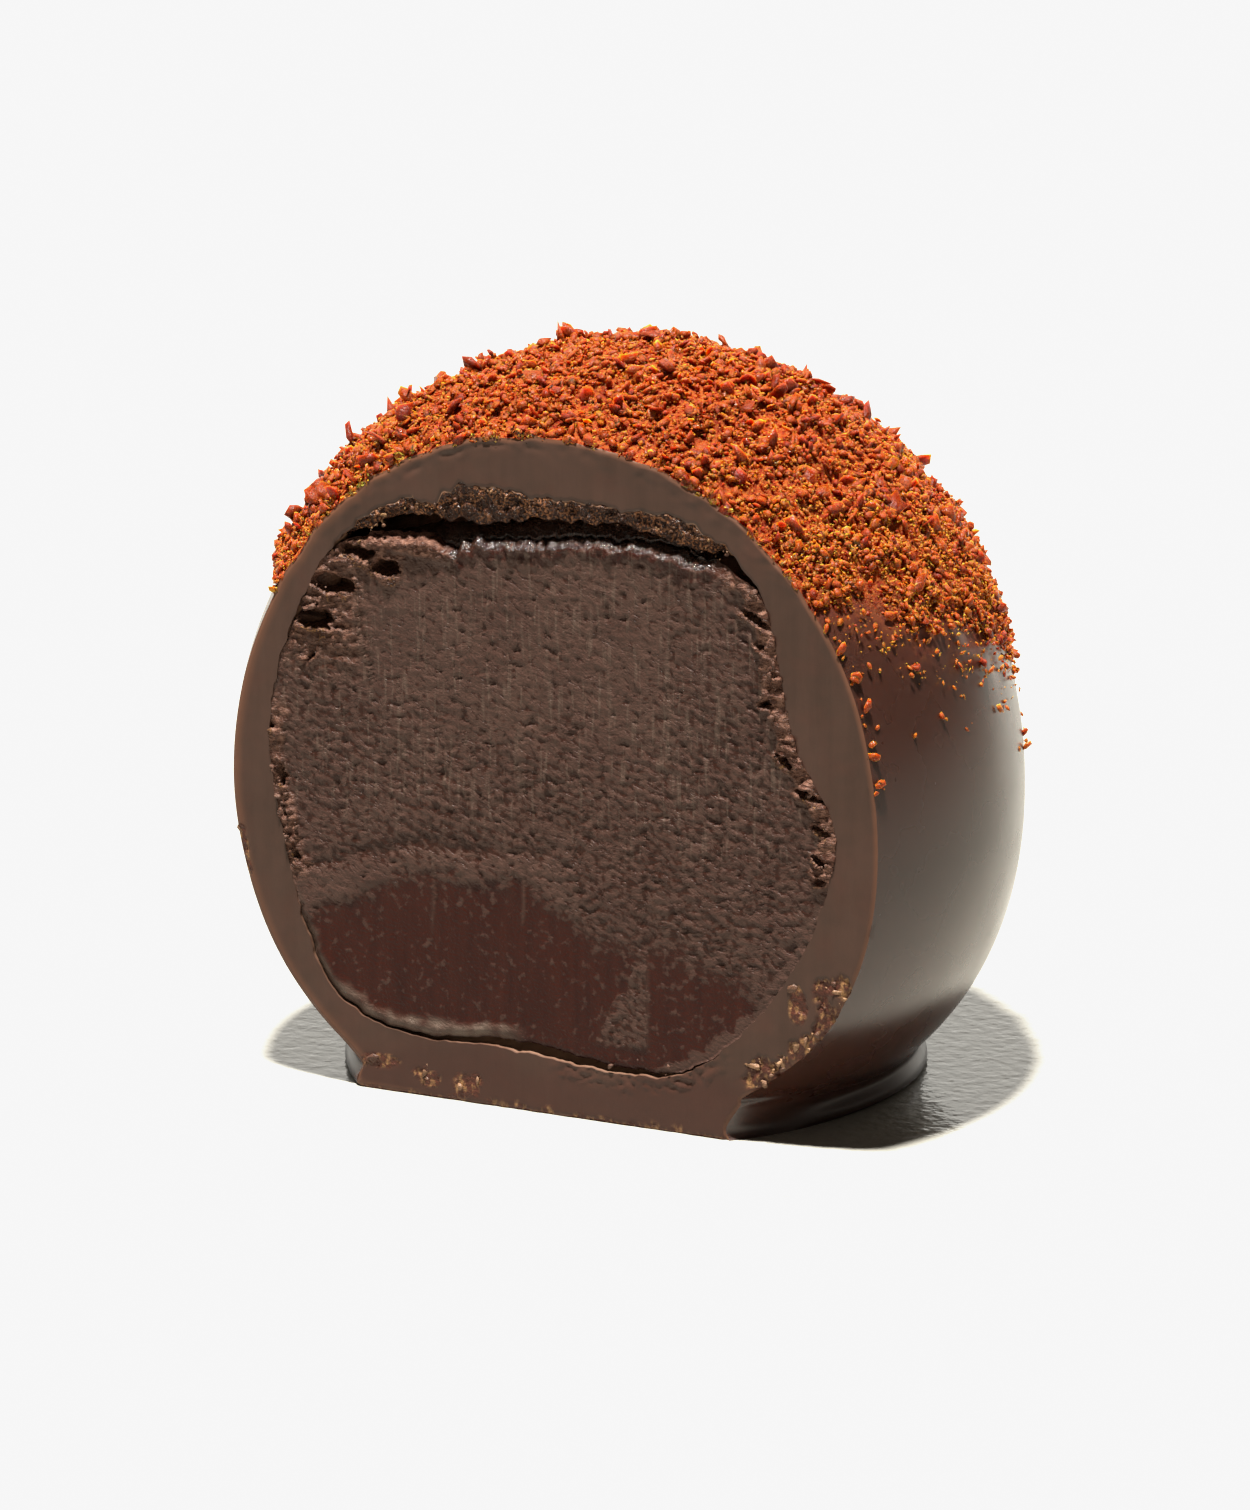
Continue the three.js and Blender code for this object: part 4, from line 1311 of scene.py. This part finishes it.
class TRUFFLE_OT_chilli(bpy.types.Operator):
    """Strew crushed chilli over the crown: red, orange and golden grains, and the largest flakes"""

    bl_idname = "truffle.chilli"
    bl_label = "Chilli flakes"

    def execute(self, context):
        settings = context.scene.truffle_chilli
        grains = angular_lumps("chilli_grain_shape", ICOSAHEDRON, 8, 0.36, 3)
        specks = angular_lumps("chilli_speck_shape", OCTAHEDRON, 5, 0.35, 5)
        flakes = angular_lumps("chilli_flake_shape", ICOSAHEDRON, 8, 0.5, 7, thin=0.15, thick=0.4)
        rings = skin_rings(BED_AROUND, BED_DOWN)
        crown = ball_point(np.zeros(1), np.zeros(1))[0]
        points, faces = closed_loft(crown, rings, (0, FOOT_Y, 0))
        faces = [face for face in faces if points[face[0], 2] > BED_LOWEST_Z]
        x, y, z = points.T
        behind_cut = smooth(y, CUT_Y + 0.02, CUT_Y + 0.10)
        clumped = 0.25 + 0.75 * smooth(clumps(points), -0.7, 0.4)
        packed = topping_cover(points) ** 3 * clumped
        thin = topping_cover(points, 1.6, 7.5) ** 2 * clumped
        above_edge = z - (TOPPING_EDGE_Z - TOPPING_SLOPE * y)
        right = smooth(x, 3.0, 11.0)
        strays = 0.06 * smooth(above_edge, -4.5, 0.0) * smooth(noise(points, 1.4, 15), 0.0, 0.5) * right
        on_rim = 0.5 * smooth(CUT_Y + 0.5 - y, 0, 0.3) * smooth(x, 9.0, 10.0) * smooth(z, 13.5, 15.0)
        low = smooth(8.0 - above_edge, 0, 6.0) * right
        golden = 0.28 + 0.90 * np.maximum(low, smooth(-x, 1.5, 7.5))
        bed = mesh_object("chilli_bed", points, faces, numbers={
            "red_cover": behind_cut * packed * (1 - 0.4 * low),
            "orange_cover": behind_cut * np.maximum(packed, np.maximum(strays, on_rim)),
            "golden_cover": behind_cut * np.maximum(thin * golden, strays),
            "dust_cover": behind_cut * np.maximum(packed, 0.5 * thin),
            "fine_cover": behind_cut * thin * (0.30 + 0.70 * low),
            "large_cover": behind_cut * packed * (1 - 0.8 * low),
        })
        kinds = (
            ("red_grains", "red_cover", grains, 1.35, 1.16, settings.red, "#84380e"),
            ("orange_grains", "orange_cover", grains, 1.40, 1.08, settings.orange, "#7c3a0c"),
            ("golden_grains", "golden_cover", grains, 2.5, 0.72, settings.gold, "#7f430f"),
            ("dust", "dust_cover", specks, 4.0, 0.42, settings.orange, settings.red),
            ("fine_grains", "fine_cover", specks, 5.5, 0.48, settings.gold, settings.orange),
            ("large_flakes", "large_cover", flakes, 0.20, 2.0, settings.orange, settings.red),
        )
        for k, (name, *looks, first, second) in enumerate(kinds):
            lie = (-0.06, 0.40, 1.6) if name == "large_flakes" else (-0.06, 0.21, 0.9)
            finish = dried_chilli(f"dried_chilli_{name}", first, second)
            strew(f"chilli_{name}", bed, settings, (k, *looks, *lie), finish, "chilli_flakes", trimmed=True)
        forget(bed, grains, specks, flakes)
        return {"FINISHED"}


class TRUFFLE_OT_crumbs(bpy.types.Operator):
    """Strew broken chocolate crumbs along the groove round the filling and over the chipped places"""

    bl_idname = "truffle.crumbs"
    bl_label = "Chocolate crumbs"

    def execute(self, context):
        settings = context.scene.truffle_crumbs
        crumbs = angular_lumps("crumb_shape", ICOSAHEDRON, 8, 0.4, 9)
        flakes = angular_lumps("flake_shape", ICOSAHEDRON, 8, 0.45, 10, thin=0.08, thick=0.22)
        angle = np.linspace(0, 2 * math.pi, CRUMB_BED_AROUND, endpoint=False)
        edge = shell_edge(angle)
        rim = rim_radius(skin_rings(SKIN_AROUND, SKIN_DOWN), angle)
        rings = [face_point(angle, edge - 0.7 + 0.1 * step, CUT_Y + 0.1) for step in range(8)]
        rings += [face_point(angle, edge + (rim - edge) * step / 23, CUT_Y + 0.1) for step in range(24)]
        rings = np.array(rings)
        x, z = rings[..., 0], rings[..., 2]
        degrees = whole_degrees(np.arctan2(z - FACE_Z, x - FACE_X))
        in_groove = (np.hypot(x - FACE_X, z - FACE_Z) < edge).astype(float)
        patchy = smooth(noise(rings, 0.9, 131), -0.1, 0.3)
        right = np.maximum(smooth(60 - degrees, 0, 8), smooth(degrees, 347, 353))
        upper_left = between(degrees, 136, 142, 178, 8)
        left = 0.5 * between(degrees, 172, 180, 204, 8)
        below = 0.5 * between(degrees, 280, 288, 312, 8)
        groove = in_groove * patchy * (right + 0.3 * upper_left + left + below)
        under_roof = in_groove * roof_share(np.radians(degrees)) * smooth(noise(rings, 0.7, 132), -0.4, 0.4)
        faces = [face[::-1] for face in ring_faces(len(rings), CRUMB_BED_AROUND)]
        bed = mesh_object(
            "crumb_bed", rings.reshape(-1, 3), faces,
            numbers={
                "groove": groove.reshape(-1),
                "under_roof": under_roof.reshape(-1),
                "chips": (breakage(x, z)[0] * (1 - in_groove) * smooth(z, 0.2, 0.5)).reshape(-1),
            },
        )
        kinds = (
            ("chocolate_crumbs", "#5c4338", "groove", crumbs, 0.5, 0.7, -0.20, 0.0, 0.9),
            ("filling_crumbs", "#7c5c3c", "under_roof", crumbs, 1.0, 0.34, -0.15, 0.0, 0.9),
            ("chocolate_flakes", settings.colour, "chips", flakes, 0.45, 1.0, -0.08, 0.04, 0.35),
        )
        for k, (name, light, *kind) in enumerate(kinds):
            finish = crumbled_chocolate(f"broken_{name}", light, "#4a3026")
            slot = "ganache" if name == "filling_crumbs" else "chocolate_shell"
            strew(name, bed, settings, (k, *kind), finish, slot)
        forget(bed, crumbs, flakes)
        return {"FINISHED"}


class TRUFFLE_OT_stage(bpy.types.Operator):
    """Set up the pale board, the lights and the camera"""

    bl_idname = "truffle.stage"
    bl_label = "Stage"

    CAMERA_AROUND = math.radians(26.0)
    CAMERA_UP = math.radians(14.52)
    CAMERA_DISTANCE = 260.0
    LOOK_AT = (0.6026, 0.0, 12.262)
    BOARD_HALF = 1500.0
    KEY_WAY = (0, 0.17, -1)
    KEY_COLOUR = (1.0, 0.965, 0.90)
    KNEE, WHITE = 0.85, 0.925  # tones above the knee are drawn down towards this white

    def execute(self, context):
        settings = context.scene.truffle_stage
        scene = context.scene
        half = self.BOARD_HALF
        corners = [(-half, -half, 0), (half, -half, 0), (half, half, 0), (-half, half, 0)]
        mesh_object("board", corners, [(0, 1, 2, 3)], [glossy_board(settings)])

        way = Vector((
            math.sin(self.CAMERA_AROUND) * math.cos(self.CAMERA_UP),
            -math.cos(self.CAMERA_AROUND) * math.cos(self.CAMERA_UP),
            math.sin(self.CAMERA_UP),
        ))
        lens = bpy.data.cameras.new("camera")
        lens.sensor_width = 36.0
        lens.lens = settings.lens
        lens.clip_start = 0.01
        camera = bpy.data.objects.new("camera", lens)
        camera.location = (Vector(self.LOOK_AT) + self.CAMERA_DISTANCE * way) * MM
        camera.rotation_euler = (-way).to_track_quat("-Z", "Y").to_euler()
        scene.collection.objects.link(camera)
        scene.camera = camera

        key = bpy.data.lights.new("key", "SUN")
        key.energy = settings.key_strength
        key.color = self.KEY_COLOUR
        key.angle = settings.key_angle
        lamp = bpy.data.objects.new("key", key)
        lamp.rotation_euler = Vector(self.KEY_WAY).to_track_quat("-Z", "Y").to_euler()
        scene.collection.objects.link(lamp)

        self.light_room(scene, settings)
        self.expose(scene)
        return {"FINISHED"}

    def light_room(self, scene, settings):
        """A dim room with a bright wall behind the truffle."""
        world = bpy.data.worlds.new("studio")
        world.use_nodes = True
        tree = world.node_tree
        tree.nodes.clear()
        way = add_node(tree, "ShaderNodeTexCoord", out="Generated")
        away = (-math.sin(self.CAMERA_AROUND), math.cos(self.CAMERA_AROUND), 0)
        away = add_node(tree, "ShaderNodeVectorMath", {0: way, 1: away}, "Value", operation="DOT_PRODUCT")
        height = add_node(tree, "ShaderNodeSeparateXYZ", {0: way}, "Z")
        sides = [
            add_node(
                tree, "ShaderNodeMapRange", {"Value": at, "From Min": none, "From Max": full},
                interpolation_type="SMOOTHSTEP")
            for at, none, full in ((away, 0.55, 0.85), (height, 0.55, 0.38))
        ]
        wall = add_node(tree, "ShaderNodeMath", {0: sides[0], 1: sides[1]}, operation="MULTIPLY")
        brightness = {"Value": wall, "To Min": settings.room, "To Max": settings.backdrop}
        brightness = add_node(tree, "ShaderNodeMapRange", brightness)
        tones = {0: wall, 6: (1.0, 0.86, 0.72, 1.0), 7: (1.0, 0.97, 0.89, 1.0)}
        tone = add_node(tree, "ShaderNodeMix", tones, 2, data_type="RGBA")
        background = add_node(tree, "ShaderNodeBackground", {"Color": tone, "Strength": brightness})
        add_node(tree, "ShaderNodeOutputWorld", {"Surface": background})
        scene.world = world

    def expose(self, scene):
        """Plain colours, with the brightest parts held just under white."""
        view = scene.view_settings
        view.view_transform = "Standard"
        view.use_curve_mapping = True
        curves = view.curve_mapping
        curves.extend = "HORIZONTAL"
        curves.curves[3].points[1].location = (1.0, self.WHITE)
        curves.curves[3].points.new(self.KNEE, self.KNEE)
        for point in curves.curves[3].points:
            point.handle_type = "VECTOR"
        curves.update()


class TRUFFLE_PT_parts(bpy.types.Panel):
    """The truffle's pieces and their settings"""

    bl_idname = "TRUFFLE_PT_parts"
    bl_label = "Chocolate truffle"
    bl_space_type = "VIEW_3D"
    bl_region_type = "UI"
    bl_category = "Truffle"

    def draw(self, context):
        for name, operator, group in PIECES:
            box = self.layout.box()
            box.operator(operator.bl_idname)
            for setting in group.__annotations__:
                box.prop(getattr(context.scene, f"truffle_{name}"), setting)


PIECES = (
    ("stage", TRUFFLE_OT_stage, StageSettings),
    ("shell", TRUFFLE_OT_shell, ShellSettings),
    ("ganache", TRUFFLE_OT_ganache, GanacheSettings),
    ("chilli", TRUFFLE_OT_chilli, ChilliSettings),
    ("crumbs", TRUFFLE_OT_crumbs, CrumbSettings),
)
CLASSES = (*(each for piece in PIECES for each in piece[1:]), TRUFFLE_PT_parts)


def register():
    for each in CLASSES:
        bpy.utils.register_class(each)
    for name, _, group in PIECES:
        setattr(bpy.types.Scene, f"truffle_{name}", PointerProperty(type=group))


def unregister():
    for name, _, _ in PIECES:
        delattr(bpy.types.Scene, f"truffle_{name}")
    for each in reversed(CLASSES):
        bpy.utils.unregister_class(each)


def main():
    register()
    for name, _, _ in PIECES:
        getattr(bpy.ops.truffle, name)()
    bpy.context.view_layer.update()


if __name__ == "__main__":
    main()
